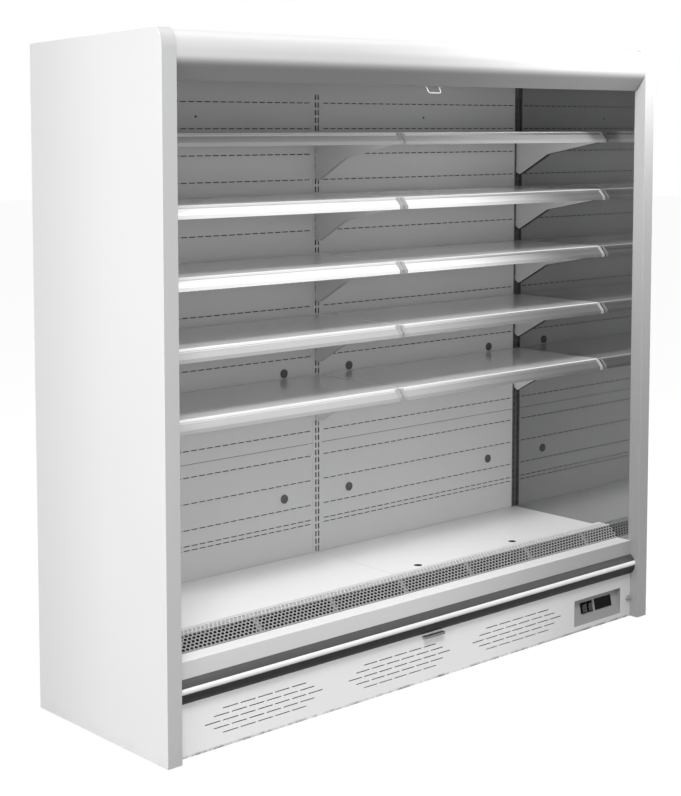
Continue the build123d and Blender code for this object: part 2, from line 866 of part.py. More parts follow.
def return_grille():
    width = 2 * (inner_half - front_gap) / grille_sections
    top = grille_top
    foot = ledge_top + sheet
    slope = math.atan2(top - foot, grille_bend - grille_foot)
    face_length = math.hypot(top - foot, grille_bend - grille_foot)
    flat_plane = Plane(origin=(0, from_front(grille_bend), top - sheet))
    face_plane = Plane(origin=(0, from_front(grille_foot), foot), x_dir=(1, 0, 0),
                       z_dir=(0, -math.sin(slope), math.cos(slope))).offset(-sheet)
    face_start = (face_length - hole_row_pitch * (grille_face_rows - 1)) / 2
    sections = []
    for index in range(grille_sections):
        left = -inner_half + front_gap + index * width
        x = (left, left + width)
        flat_holes = staggered_holes(x, hole_row_pitch * 0.75, grille_flange_rows, grille_face_rows)
        flat = pierced_plate((x[0], 0), (x[1], grille_rear - grille_bend), flat_holes, sheet, flat_plane)
        face_holes = staggered_holes(x, face_start, grille_face_rows, 0)
        face = pierced_plate((x[0], 0), (x[1], face_length), face_holes, sheet, face_plane)
        lip = block(x, (grille_foot - 2 * sheet, grille_foot + sheet), (ledge_top, foot))
        hook = block(x, (grille_rear - sheet, grille_rear), (deck_top - deck_flange, top - sheet))
        sections.append(flat.fuse(face, lip, hook))
    return sections


def deck_pan(side):
    near, far = deck_gap / 2, inner_half - deck_gap / 2
    x = sorted((side * near, side * far))
    front = grille_rear + front_gap
    rear = post_front - front_gap
    top = block(x, (front, rear), (deck_top - liner_sheet, deck_top))
    flange = block(x, (front, front + liner_sheet), (deck_top - deck_flange, deck_top))
    pan = top.fuse(flange)
    if side > 0:
        z = (deck_top - 2 * liner_sheet, deck_top + 1)
        for index in (0, 1):
            pan -= post_pin(finger_hole, finger_hole_first + index * finger_hole_pitch, finger_hole_depth, z)
    return pan


# ---- Rear liner and posts ---------------------------------------------------
def post_spans():
    inner_edge = inner_half - post_half
    return [(-inner_half, -inner_edge), (-post_half, post_half), (inner_edge, inner_half)]


def slot_heights():
    heights = []
    z = first_shelf - slot_drop
    while z - slot_pitch > lowest_slot:
        z -= slot_pitch
    while z < highest_slot:
        heights.append(z)
        z += slot_pitch
    return heights


def slotted_posts():
    posts = []
    for low, high in post_spans():
        columns = [column for column in slot_columns if low < column < high]
        holes = [slot_wire((x, z), slot_width, slot_height) for x in columns for z in slot_heights()]
        z = (tub_floor_top, ceiling)
        face = upright_plate((low, high), z, holes, post_front + post_sheet, post_sheet)
        y = (post_front + post_sheet, rear_wall_front)
        legs = [block((low, low + post_sheet), y, z), block((high - post_sheet, high), y, z)]
        posts.append(face.fuse(*legs))
    return posts


def bay_span(side):
    return sorted((side * post_half, side * (inner_half - post_half)))


def dash_holes(side, z):
    x = bay_span(side)
    first = x[0] - post_half + dash_margin + dash_length / 2
    last = x[1] + post_half - dash_margin - dash_length / 2
    top_row = ceiling - dash_row_pitch / 2
    count = int((top_row - dash_first_row) / dash_row_pitch) + 1
    rows = dash_twin_rows + [dash_first_row + dash_row_pitch * i for i in range(count)]
    margin = dash_height
    used = [row for row in rows if z[0] + margin < row < z[1] - margin]
    return [slot_wire((place, row), dash_length, dash_height)
            for row in used for place in spread(first, last, dash_pitch)]


def plug_places(side):
    far = side * (end_column - plug_offset)
    return [(place, z) for place in (side * plug_offset, far) for z in plug_heights]


def screw_place(side):
    return sum(bay_span(side)) / 2


def rear_liner(side):
    x = bay_span(side)
    sections = []
    low_z = deck_top - liner_sheet
    gap = liner_sheet / 2
    for z in ((low_z - liner_sheet, seam_height - gap), (seam_height + gap, ceiling)):
        holes = dash_holes(side, z)
        for place, height in plug_places(side):
            if z[0] < height < z[1]:
                holes.append(regular_wire((place, height), plug_stem + hole_gap, 16))
        if z[0] < screw_height < z[1]:
            holes.append(regular_wire((screw_place(side), screw_height), screw_radius / 2 + hole_gap, 12))
        sections.append(upright_plate(x, z, holes, liner_back, liner_sheet))
    foot = block(x, (liner_face - liner_foot, liner_face), (low_z - liner_sheet, low_z))
    sections[0] = sections[0].fuse(foot)
    return sections


def liner_plugs():
    plugs = []
    for side in (-1, 1):
        for x, z in plug_places(side):
            disc = stub(plug_radius, x, (liner_face - plug_height, liner_face), z)
            dimple = stub(plug_radius / 2, x, (liner_face - plug_height - 1, liner_face - plug_height + 1), z)
            stem = stub(plug_stem, x, (liner_face - 1, liner_back + plug_height), z)
            plugs.append((disc - dimple).fuse(stem))
        x = screw_place(side)
        head = stub(screw_radius, x, (liner_face - plug_height / 2, liner_face), screw_height)
        shank = stub(screw_radius / 2, x, (liner_face - 1, liner_back + plug_height), screw_height)
        plugs.append(head.fuse(shank))
    return plugs


# ---- Shelves ----------------------------------------------------------------
def shelf_span(side):
    return sorted((side * shelf_end_gap, side * (inner_half - shelf_end_gap)))


def lip_point(top, along, outward):
    """A point on the shelf's sloping lip: down the slope, and out from it."""
    angle = math.radians(shelf_lip_angle)
    depth = shelf_front - along * math.sin(angle) - outward * math.cos(angle)
    height = top - along * math.cos(angle) + outward * math.sin(angle)
    return depth, height


def shelf(side, top):
    x = shelf_span(side)
    path = [(shelf_rear, top), (shelf_front, top), lip_point(top, shelf_lip, 0)]
    tray = folded(path, sheet, x)
    columns = [column for column in slot_columns if x[0] < column < x[1]]
    inset = 3 * bracket_thickness
    flange_x = (min(columns) + inset, max(columns) - inset)
    flange = block(flange_x, (shelf_rear - sheet, shelf_rear), (top - shelf_rear_flange, top))
    return tray.fuse(flange)


def price_rail(side, top):
    start = lip_point(top, rail_start, rail_thickness)
    bend = lip_point(top, rail_start + rail_slope_length, rail_thickness)
    path = [start, bend, (bend[0], bend[1] - rail_drop)]
    cap_start = lip_point(top, rail_start - 2, cap_thickness)
    cap_bend = lip_point(top, rail_start + rail_slope_length, cap_thickness)
    cap_path = [cap_start, cap_bend, (cap_bend[0], bend[1] - rail_drop - 1)]
    x = shelf_span(side)
    rail = folded(path, rail_thickness, x)
    caps = [folded(cap_path, cap_thickness, (x[0], x[0] + cap_width)),
            folded(cap_path, cap_thickness, (x[1] - cap_width, x[1]))]
    return rail.fuse(*caps)


def shelf_bracket(column, top):
    under = top - sheet
    rear = post_front
    heel = rear - bracket_heel_depth
    knee = heel - bracket_knee + bracket_heel_depth
    nose = shelf_front + 2 * sheet
    profile = [
        (rear, under),
        (rear, under - bracket_heel + bracket_heel_depth / 2),
        (heel, under - bracket_heel),
        (knee, under - bracket_knee_drop),
        (nose, under - bracket_nose_drop),
        (nose, under),
    ]
    x = (column - bracket_thickness / 2, column + bracket_thickness / 2)
    plate = side_profile(profile, x)
    hooks = []
    for step in (0, 5):
        z = top - slot_drop - step * slot_pitch
        hooks.append(block(x, (rear - 1, rear + hook_reach), (z - hook_height / 2, z + hook_height / 2)))
    return plate.fuse(*hooks)


# ---- Night blind ------------------------------------------------------------
def blind_roller():
    reach = inner_half - front_gap
    roll = rod(blind_roll_radius, (-inner_half + blind_end_gap, inner_half - blind_end_gap),
               blind_roll_depth, blind_roll_height)
    pin = rod(blind_pin, (-reach, reach), blind_roll_depth, blind_roll_height)
    return roll.fuse(pin)


def blind_bar():
    x = (-inner_half + bar_end_gap, inner_half - bar_end_gap)
    chamfer = bar_depth / 4
    rear = bar_front + bar_depth
    top = bar_bottom + bar_height
    profile = [
        (bar_front + chamfer, bar_bottom),
        (rear - chamfer, bar_bottom),
        (rear, bar_bottom + chamfer),
        (rear, top),
        (bar_front, top),
        (bar_front, bar_bottom + chamfer),
    ]
    bar = side_profile(profile, x)
    strip_x = (-inner_half + blind_end_gap, inner_half - blind_end_gap)
    strip = block(strip_x, (strip_front, strip_front + fabric), (top - 1, blind_roll_height))
    return bar.fuse(strip)


def blind_handle():
    half = handle_width / 2
    top = (from_front(bar_front + bar_depth / 2), bar_bottom + handle_wire)
    low = (top[0] - handle_reach, top[1] - handle_drop)
    corners = [(-half, *top), (-half, *low), (half, *low), (half, *top)]
    path = FilletPolyline(*corners, radius=handle_bend)
    start = Plane(origin=corners[0], z_dir=path % 0)
    loop = sweep(start * Circle(handle_wire), path=path)
    return loop - block((-handle_width, handle_width), (bar_front, bar_front + bar_depth),
                        (bar_bottom, bar_bottom + bar_height))


# ---- Refrigeration ----------------------------------------------------------
def fan_tilt():
    return math.atan2(deck_top - liner_sheet - sheet - tub_floor_top, fan_plate_rear - fan_plate_front)


def fan_plane(x):
    """Middle of a fan on the sloping plate, z up and forwards out of the plate."""
    middle_z = (tub_floor_top + deck_top - liner_sheet) / 2
    middle = (x, from_front((fan_plate_front + fan_plate_rear) / 2), middle_z)
    tilt = fan_tilt()
    return Plane(origin=middle, x_dir=(1, 0, 0), z_dir=(0, -math.sin(tilt), math.cos(tilt)))


def fan_places():
    return [(i - (fan_count - 1) / 2) * fan_pitch for i in range(fan_count)]


def fan_plate():
    x = (-inner_half + front_gap, inner_half - front_gap)
    floor, top = tub_floor_top, deck_top - liner_sheet
    path = [
        (fan_plate_front - fan_plate_land, floor),
        (fan_plate_front, floor),
        (fan_plate_rear, top - sheet),
        (fan_plate_rear + fan_plate_land, top - sheet),
    ]
    plate = folded(path, sheet, x)
    half = fan_frame / 2
    for place in fan_places():
        at = fan_plane(place).location
        opening = Solid.make_cylinder(fan_radius + fan_tip_gap, 4 * fan_frame_depth,
                                      Plane(origin=(0, 0, -2 * fan_frame_depth)))
        frame = Box(2 * half, 2 * half, fan_frame_depth)
        spokes = []
        spoke_z = -fan_frame_depth / 2 + 1.5
        for angle in (45, 135):
            spoke = Pos(0, 0, spoke_z) * Rot(0, 0, angle) * Box(2 * fan_radius + 4 * fan_tip_gap, 6, 3)
            spokes.append(spoke)
        disc = Solid.make_cylinder(fan_hub - 2, 3, Plane(origin=(0, 0, spoke_z - 1.5)))
        shaft = Solid.make_cylinder(fan_shaft, fan_frame_depth - 3, Plane(origin=(0, 0, spoke_z)))
        ring = (frame - opening).fuse(*spokes, disc, shaft)
        plate = (plate - opening.moved(at)).fuse(ring.moved(at))
    return plate


def impeller(radius, hub, depth, shaft, blades):
    """An axial fan wheel about local z, with its bore for a fixed shaft."""
    wheel = Solid.make_cylinder(hub, depth, Plane(origin=(0, 0, -depth / 2)))
    vanes = []
    for i in range(blades):
        vane = Pos((hub + radius) / 2 - 1, 0, 0) * Rot(32, 0, 0) * Box(radius - hub, hub * 1.1, 1.6)
        vanes.append(Rot(0, 0, 360 / blades * i) * vane)
    rim = Solid.make_cylinder(radius, depth, Plane(origin=(0, 0, -depth / 2)))
    wheel = wheel.fuse(*[vane & rim for vane in vanes])
    bore = Solid.make_cylinder(shaft + running_gap, 2 * depth, Plane(origin=(0, 0, -depth)))
    return wheel - bore


def evaporator_fan(index):
    wheel = impeller(fan_radius, fan_hub, fan_blade_depth, fan_shaft, fan_blades)
    return wheel.moved(fan_plane(fan_places()[index]).location)


def comb(x, y, z, pitch):
    """A finned block: upright fins on a thin web, drawn out along Y."""
    half = fin_thickness / 2
    places = spread(x[0] + half, x[1] - half, pitch)
    web = z[0] + fin_web
    base = [(places[0] - half, z[0]), (places[-1] + half, z[0])]
    teeth = []
    for place in reversed(places):
        teeth += [(place + half, web), (place + half, z[1]), (place - half, z[1]), (place - half, web)]
    corners = [Vector(along, from_front(y[0]), height) for along, height in base + teeth[1:-1]]
    face = Face(Wire.make_polygon(corners, close=True))
    return Solid.extrude(face, Vector(0, y[1] - y[0], 0))


def evaporator_coil():
    y = (coil_front, coil_front + coil_depth)
    z = (tub_floor_top, tub_floor_top + coil_height)
    coil = comb((-coil_half, coil_half), y, z, fin_pitch)
    headers = [block((-coil_half - header_width, -coil_half + fin_pitch), y, z),
               block((coil_half - fin_pitch, coil_half + header_width), y, z)]
    return coil.fuse(*headers)


def pipe_places():
    """Where the suction and liquid pipes pass through the tub's floor."""
    coil_end = -coil_half - header_width
    return [(coil_end - pipe_gap, suction_depth), (coil_end - 2 * pipe_gap + pipe_radius, liquid_depth)]


def drain_x():
    return tray_left + tray_width / 2


def drain_depth():
    return tray_front + tray_depth / 2


def compressor():
    z = compressor_axis()
    x = (compressor_centre - compressor_length / 2, compressor_centre + compressor_length / 2)
    shell = rod(compressor_radius, x, compressor_depth, z)
    shell = fillet(shell.edges().filter_by(GeomType.CIRCLE), compressor_radius / 3)
    saddles = []
    for side in (-1, 1):
        place = compressor_centre + side * compressor_length / 4
        saddle_y = (compressor_depth - compressor_radius, compressor_depth + compressor_radius)
        saddles.append(block((place - 15, place + 15), saddle_y, (tray_top, z - compressor_radius / 2)))
    terminals = block((x[0] + 60, x[0] + 120), (compressor_depth - compressor_radius - 14, compressor_depth),
                      (z - 20, z + 20))
    return shell.fuse(*saddles, terminals)


def condenser_coil():
    x = (condenser_left, condenser_left + condenser_width)
    y = (condenser_front, condenser_front + condenser_depth)
    z = (tray_top, tray_top + condenser_height)
    coil = comb(x, y, z, fin_pitch / 2)
    ends = [block((x[0] - condenser_end, x[0] + fin_pitch), y, z),
            block((x[1] - fin_pitch, x[1] + condenser_end), y, z)]
    return coil.fuse(*ends)


def condenser_fan_plane():
    depth = condenser_front + condenser_depth + condenser_duct / 2
    origin = (condenser_left + condenser_width / 2, from_front(depth), tray_top + condenser_height / 2)
    return Plane(origin=origin, x_dir=(1, 0, 0), z_dir=(0, 1, 0))


def condenser_fan_plate():
    x = (condenser_left - condenser_end, condenser_left + condenser_width + condenser_end)
    rear = condenser_front + condenser_depth
    y = (rear, rear + condenser_duct)
    z = (tray_top, tray_top + condenser_height)
    at = condenser_fan_plane().location
    hood = block(x, y, z) - block((x[0] + sheet, x[1] - sheet), (rear - 1, rear + condenser_duct - sheet),
                                  (z[0] + sheet, z[1] - sheet))
    opening = Solid.make_cylinder(condenser_fan_radius + fan_tip_gap, 3 * condenser_duct,
                                  Plane(origin=(0, 0, 0)))
    reach = condenser_duct / 2
    spoke_z = reach - sheet / 2
    spokes = [Pos(0, 0, spoke_z) * Rot(0, 0, angle) * Box(2 * condenser_fan_radius + 12, 6, sheet)
              for angle in (45, 135)]
    disc = Solid.make_cylinder(fan_hub - 4, 3, Plane(origin=(0, 0, reach - 3)))
    shaft = Solid.make_cylinder(fan_shaft, reach + 6, Plane(origin=(0, 0, -6)))
    carrier = spokes[0].fuse(spokes[1], disc, shaft)
    return (hood - opening.moved(at)).fuse(carrier.moved(at))


def condenser_fan():
    wheel = impeller(condenser_fan_radius, fan_hub - 4, fan_blade_depth, fan_shaft, fan_blades)
    return wheel.moved(condenser_fan_plane().location)


def condensate_tray():
    x = (tray_left, tray_left + tray_width)
    y = (tray_front, tray_front + tray_depth)
    outer = block(x, y, (tray_top, tray_top + tray_height))
    inner = block((x[0] + sheet, x[1] - sheet), (y[0] + sheet, y[1] - sheet),
                  (tray_top + sheet, tray_top + tray_height + 1))
    return outer - inner


def bent_pipe(points):
    """A round pipe through (X, depth, height) points, with one bend radius."""
    corners = [Vector(x, from_front(depth), height) for x, depth, height in points]
    path = FilletPolyline(*corners, radius=pipe_bend)
    return sweep(Plane(origin=corners[0], z_dir=path % 0) * Circle(pipe_radius), path=path)


def compressor_axis():
    return tray_top + compressor_radius + 8


def service_pipes():
    suction_place, liquid_place = pipe_places()
    coil_end = -coil_half - header_width
    run = tray_top + pipe_run
    port = compressor_axis()
    left_end = compressor_centre - compressor_length / 2
    right_end = compressor_centre + compressor_length / 2
    suction_top = tub_floor_top + coil_height * 0.75
    liquid_top = tub_floor_top + coil_height * 0.4
    suction = bent_pipe([
        (coil_end, suction_depth, suction_top),
        (suction_place[0], suction_depth, suction_top),
        (suction_place[0], suction_depth, run),
        (left_end - pipe_gap, suction_depth, run),
        (left_end - pipe_gap, compressor_depth, port),
        (left_end, compressor_depth, port),
    ])
    liquid = bent_pipe([
        (condenser_left - condenser_end, condenser_port_depth, run),
        (liquid_place[0], condenser_port_depth, run),
        (liquid_place[0], liquid_depth, run),
        (liquid_place[0], liquid_depth, liquid_top),
        (coil_end, liquid_depth, liquid_top),
    ])
    condenser_right = condenser_left + condenser_width + condenser_end
    discharge = bent_pipe([
        (right_end, compressor_depth, port),
        (right_end + pipe_gap, compressor_depth, port),
        (right_end + pipe_gap, discharge_depth, port),
        (condenser_right + pipe_gap, discharge_depth, port),
        (condenser_right + pipe_gap, condenser_port_depth, port),
        (condenser_right, condenser_port_depth, port),
    ])
    z = (tray_top + tray_height / 2, tub_floor_top)
    drain = post_pin(drain_radius, drain_x(), drain_depth(), z)
    drain -= post_pin(drain_radius - drain_wall, drain_x(), drain_depth(), (z[0] - 1, z[1] + 1))
    return [suction, liquid, discharge, drain]


def electrical_box():
    right = inner_half - box_from_end
    x = (right - box_width, right)
    front = kick_front + control_recess + display_body + 20
    body = block(x, (front, front + box_depth), (tray_top, tray_top + box_height))
    lid = block((x[0] - 2, x[1] + 2), (front - 2, front), (tray_top, tray_top + box_height + 2))
    return body.fuse(lid)


# ---- Nodes ------------------------------------------------------------------
def nodes():
    parts = {
        "base_frame": base_frame(),
        "levelling_feet": levelling_feet(),
        "insulated_tub": insulated_tub(),
        "rear_wall": rear_wall(),
        "rear_vent_panel": rear_vent_panel(),
        "power_inlet": power_inlet(),
        "left_end_panel": left_end_panel(),
        "right_end_panel": mirrored(left_end_panel()),
        "left_front_trim": left_front_trim(),
        "right_front_trim": mirrored(left_front_trim()),
        "mirror_linings": mirror_linings(),
        "roof_panel": roof_panel(),
        "canopy_cover": canopy_cover(),
        "canopy_duct": canopy_duct(),
        "air_outlet_honeycomb": air_outlet_honeycomb(),
        "canopy_lamp": canopy_lamp(),
        "front_panel": front_panel(),
        "bumper": bumper(),
        "bumper_insert": bumper_insert(),
        "kick_plate": kick_plate(),
        "kick_plate_knob": kick_plate_knob(),
        "control_plate": control_plate(),
        "control_units": control_units(),
        "main_switch": rocker(1),
        "lamp_switch": rocker(2),
        "return_grille": return_grille(),
        "deck_pan_left": deck_pan(-1),
        "deck_pan_right": deck_pan(1),
        "slotted_posts": slotted_posts(),
        "rear_liner_left": rear_liner(-1),
        "rear_liner_right": rear_liner(1),
        "liner_plugs": liner_plugs(),
        "shelf_brackets": [shelf_bracket(column, top) for column in slot_columns for top in shelf_tops],
        "blind_roller": blind_roller(),
        "blind_bar": blind_bar(),
        "blind_handle": blind_handle(),
        "fan_plate": fan_plate(),
        "evaporator_coil": evaporator_coil(),
        "compressor": compressor(),
        "condenser_coil": condenser_coil(),
        "condenser_fan_plate": condenser_fan_plate(),
        "condenser_fan": condenser_fan(),
        "condensate_tray": condensate_tray(),
        "service_pipes": service_pipes(),
        "electrical_box": electrical_box(),
    }
    for index in range(fan_count):
        parts[f"evaporator_fan_{index + 1}"] = evaporator_fan(index)
    for side, word in ((-1, "left"), (1, "right")):
        parts[f"price_rails_{word}"] = [price_rail(side, top) for top in shelf_tops]
        for row, top in enumerate(shelf_tops, start=1):
            parts[f"shelf_{row}_{word}"] = shelf(side, top)
    return parts


os.makedirs("parts", exist_ok=True)
for name, shape in nodes().items():
    solids = shape if isinstance(shape, list) else [shape]
    pieces = [solid for item in solids for solid in item.solids()]
    export_step(Compound(children=pieces) if len(pieces) > 1 else pieces[0], f"parts/{name}.step")
    print(name, len(pieces))
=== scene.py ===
import json
import math

import bpy
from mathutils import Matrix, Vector


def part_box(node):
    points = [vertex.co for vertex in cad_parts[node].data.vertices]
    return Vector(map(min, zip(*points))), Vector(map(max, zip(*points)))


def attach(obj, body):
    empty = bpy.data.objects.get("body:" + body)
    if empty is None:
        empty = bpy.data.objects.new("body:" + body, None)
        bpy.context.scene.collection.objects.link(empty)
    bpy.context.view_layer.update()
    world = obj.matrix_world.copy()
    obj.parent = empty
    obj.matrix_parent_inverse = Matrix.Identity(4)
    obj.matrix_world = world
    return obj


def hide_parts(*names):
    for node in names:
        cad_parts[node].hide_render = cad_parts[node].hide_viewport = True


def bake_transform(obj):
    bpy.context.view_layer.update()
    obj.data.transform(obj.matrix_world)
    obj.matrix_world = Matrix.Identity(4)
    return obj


# Open multideck display fridge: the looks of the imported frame. Metres, front towards -Y.
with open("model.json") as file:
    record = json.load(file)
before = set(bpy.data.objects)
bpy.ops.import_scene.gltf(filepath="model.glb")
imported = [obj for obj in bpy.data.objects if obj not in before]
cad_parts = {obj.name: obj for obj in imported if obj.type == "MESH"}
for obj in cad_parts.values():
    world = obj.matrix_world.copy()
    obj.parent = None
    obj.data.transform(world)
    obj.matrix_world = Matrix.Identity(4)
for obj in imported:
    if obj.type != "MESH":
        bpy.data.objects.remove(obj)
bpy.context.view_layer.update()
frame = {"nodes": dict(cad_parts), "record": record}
nodes = frame["nodes"]
slotOf = {part["node"]: part["material_slot"] for part in frame["record"]["subparts"]}
bodyOf = {node: body for body, names in frame["record"]["behaviour"]["bodies"].items() for node in names}
print("frame loaded:", len(nodes), "nodes")

cabinet = {
    "frontY": -0.3225,      # front plane
    "innerHalf": 1.0,       # to the end walls' inner faces
    "endGap": 0.0005,       # between a long piece and each end wall
}
modelling = {
    "sharp": 32,            # degrees from which an edge is rounded and stays sharp
    "dressedSharp": 38,     # the same on the pieces that keep their shape
    "flat": 0.5,            # degrees under which two faces become one
    "weld": 0.00002,        # vertices that are closer than this become one
    "nearly": 1e-6,
}


def fromFront(depth):
    return cabinet["frontY"] + depth


def halfSpan():
    # half the length of a piece that runs from end wall to end wall
    return cabinet["innerHalf"] - cabinet["endGap"]


def deselect():
    bpy.ops.object.select_all(action="DESELECT")


def only(piece):
    deselect()
    piece.select_set(True)
    bpy.context.view_layer.objects.active = piece


def pick(piece, wanted):
    # marks the vertices that the next edit-mode step works on
    mesh = piece.data
    mesh.polygons.foreach_set("select", [False] * len(mesh.polygons))
    mesh.edges.foreach_set("select", [False] * len(mesh.edges))
    mesh.vertices.foreach_set("select", [bool(wanted(vert.co)) for vert in mesh.vertices])


def editing(piece, *steps):
    # runs mesh operators on the marked vertices
    only(piece)
    bpy.ops.object.mode_set(mode="EDIT")
    bpy.ops.mesh.select_mode(type="VERT")
    for step in steps:
        step()
    bpy.ops.object.mode_set(mode="OBJECT")


def selectAll():
    bpy.ops.mesh.select_all(action="SELECT")


def weld(reach):
    # the step that makes one of vertices that are closer than this
    return lambda: bpy.ops.mesh.remove_doubles(threshold=reach)


def settle(piece):
    only(piece)
    bpy.ops.object.transform_apply(location=True, rotation=True, scale=True)


def applyModifiers(piece):
    only(piece)
    for modifier in list(piece.modifiers):
        bpy.ops.object.modifier_apply(modifier=modifier.name)


def outwards(piece):
    editing(piece, selectAll, lambda: bpy.ops.mesh.normals_make_consistent(inside=False))


def outwardUp(piece):
    # an open sheet's faces turned to look up and out
    outwards(piece)
    if sum(face.normal.z * face.area for face in piece.data.polygons) < 0:
        editing(piece, selectAll, lambda: bpy.ops.mesh.flip_normals())


def smooth(piece, degrees=modelling["sharp"]):
    # rounded edges blend, and the flats beside them stay evenly shaded
    only(piece)
    bpy.ops.object.shade_smooth_by_angle(angle=math.radians(degrees))
    weigh = piece.modifiers.new("weighted", "WEIGHTED_NORMAL")
    weigh.keep_sharp = True
    bpy.ops.object.modifier_apply(modifier=weigh.name)


def roundEdges(piece, width, segments=2, degrees=modelling["sharp"]):
    bevel = piece.modifiers.new("roundedEdges", "BEVEL")
    bevel.width = width
    bevel.segments = segments
    bevel.limit_method = "ANGLE"
    bevel.angle_limit = math.radians(degrees)
    bevel.use_clamp_overlap = True
    applyModifiers(piece)


def joined(name, pieces):
    deselect()
    for piece in pieces:
        piece.select_set(True)
    bpy.context.view_layer.objects.active = pieces[0]
    if len(pieces) > 1:
        bpy.ops.object.join()
    pieces[0].name = name
    pieces[0].data.name = name
    return pieces[0]


def copied(piece, name, shift, mirrorX):
    only(piece)
    bpy.ops.object.duplicate(linked=False)
    twin = bpy.context.object
    twin.name = name
    if mirrorX:
        twin.scale.x = -1
    twin.location = shift
    settle(twin)
    if mirrorX:
        outwards(twin)
        smooth(twin)
    return twin


def arcPoints(centre, radii, start, end, steps):
    # (depth, height) points on an ellipse, angles from straight back towards up
    points = []
    for step in range(steps + 1):
        turn = math.radians(start + (end - start) * step / steps)
        points.append((centre[0] + radii[0] * math.cos(turn), centre[1] + radii[1] * math.sin(turn)))
    return points


def drawnSheet(name, path, span):
    # a bare sheet drawn along a path of (depth, height) points
    deselect()
    middle = (span[0] + span[1]) / 2
    bpy.ops.mesh.primitive_plane_add(size=1, location=(middle, fromFront(path[0][0]), path[0][1]))
    piece = bpy.context.object
    piece.name = name
    bpy.ops.object.mode_set(mode="EDIT")
    selectAll()
    bpy.ops.transform.resize(value=(span[1] - span[0], 0, 0))
    bpy.ops.mesh.remove_doubles(threshold=modelling["nearly"])
    for before, after in zip(path, path[1:]):
        step = (0, after[0] - before[0], after[1] - before[1])
        bpy.ops.mesh.extrude_region_move(TRANSFORM_OT_translate={"value": step})
    bpy.ops.object.mode_set(mode="OBJECT")
    settle(piece)
    return piece


def foldSheet(name, path, span, thick, foldRadius=0.0):
    # a drawn sheet with its wall, and with round folds where they have a radius
    piece = drawnSheet(name, path, span)
    if foldRadius:
        roundEdges(piece, foldRadius, 3)
    wall = piece.modifiers.new("wall", "SOLIDIFY")
    wall.thickness = thick
    wall.offset = -1
    wall.use_even_offset = True
    applyModifiers(piece)
    outwards(piece)
    return piece


def closedBar(name, outline, span):
    # a solid bar along X from its closed (depth, height) outline
    bar = drawnSheet(name, outline + outline[:1], span)
    editing(bar, selectAll, weld(modelling["nearly"]))
    for end in span:
        pick(bar, lambda co: abs(co.x - end) < modelling["nearly"])
        editing(bar, lambda: bpy.ops.mesh.edge_face_add())
    outwards(bar)
    return bar


def finishPiece(piece, finish, body="cabinet", stands=(), slot=None):
    piece.data.materials.clear()
    piece.data.materials.append(finish)
    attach(piece, body)
    if stands:
        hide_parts(*stands)
        slot = slot or slotOf[stands[0]]
    return piece


def dressed(node, finish, width):
    # a merged copy of a CAD node's mesh with its edges rounded, in place of the node
    first, *others = node.split("_")
    name = first + "".join(word.title() for word in others)
    piece = bpy.data.objects.new(name, nodes[node].data.copy())
    bpy.context.scene.collection.objects.link(piece)
    editing(piece, selectAll, weld(modelling["weld"]),
            lambda: bpy.ops.mesh.dissolve_limited(angle_limit=math.radians(modelling["flat"])))
    if width:
        roundEdges(piece, width, degrees=modelling["dressedSharp"])
    smooth(piece, modelling["dressedSharp"])
    return finishPiece(piece, finish, bodyOf[node], (node,))


def secondFinish(piece, finish, wanted):
    # the faces that are wanted get a finish of their own
    piece.data.materials.append(finish)
    for face in piece.data.polygons:
        if wanted(face):
            face.material_index = len(piece.data.materials) - 1


def startGroup(name, inputs, outputs):
    group = bpy.data.node_groups.new(name, "ShaderNodeTree")
    for label in inputs:
        group.interface.new_socket(label, in_out="INPUT", socket_type="NodeSocketFloat")
    for label in outputs:
        kind = "NodeSocketVector" if label == "Normal" else "NodeSocketFloat"
        group.interface.new_socket(label, in_out="OUTPUT", socket_type=kind)
    return group, group.nodes.new("NodeGroupInput"), group.nodes.new("NodeGroupOutput")


def fill(node, **values):
    # names with a capital letter are input sockets, the others are the node's own settings
    for label, value in values.items():
        if label[0].isupper():
            node.inputs[label.replace("_", " ")].default_value = value
        else:
            setattr(node, label, value)
    return node


def put(tree, kind, **values):
    return fill(tree.nodes.new("ShaderNode" + kind), **values)


def wire(tree, source, target):
    tree.links.new(source, target)


def softMottleGroup():
    # slow uneven patches, 0 to 1
    tree, start, end = startGroup("softMottle", ["Scale", "Spread"], ["Mask"])
    place = put(tree, "TexCoord")
    noise = put(tree, "TexNoise", Detail=3.0, Roughness=0.5)
    low = put(tree, "Math", operation="SUBTRACT")
    low.inputs[0].default_value = 0.5
    high = put(tree, "Math", operation="ADD")
    high.inputs[0].default_value = 0.5
    ramp = put(tree, "MapRange")
    wire(tree, place.outputs["Object"], noise.inputs["Vector"])
    wire(tree, start.outputs["Scale"], noise.inputs["Scale"])
    wire(tree, start.outputs["Spread"], low.inputs[1])
    wire(tree, start.outputs["Spread"], high.inputs[1])
    wire(tree, noise.outputs["Fac"], ramp.inputs["Value"])
    wire(tree, low.outputs[0], ramp.inputs["From Min"])
    wire(tree, high.outputs[0], ramp.inputs["From Max"])
    wire(tree, ramp.outputs["Result"], end.inputs["Mask"])
    return tree


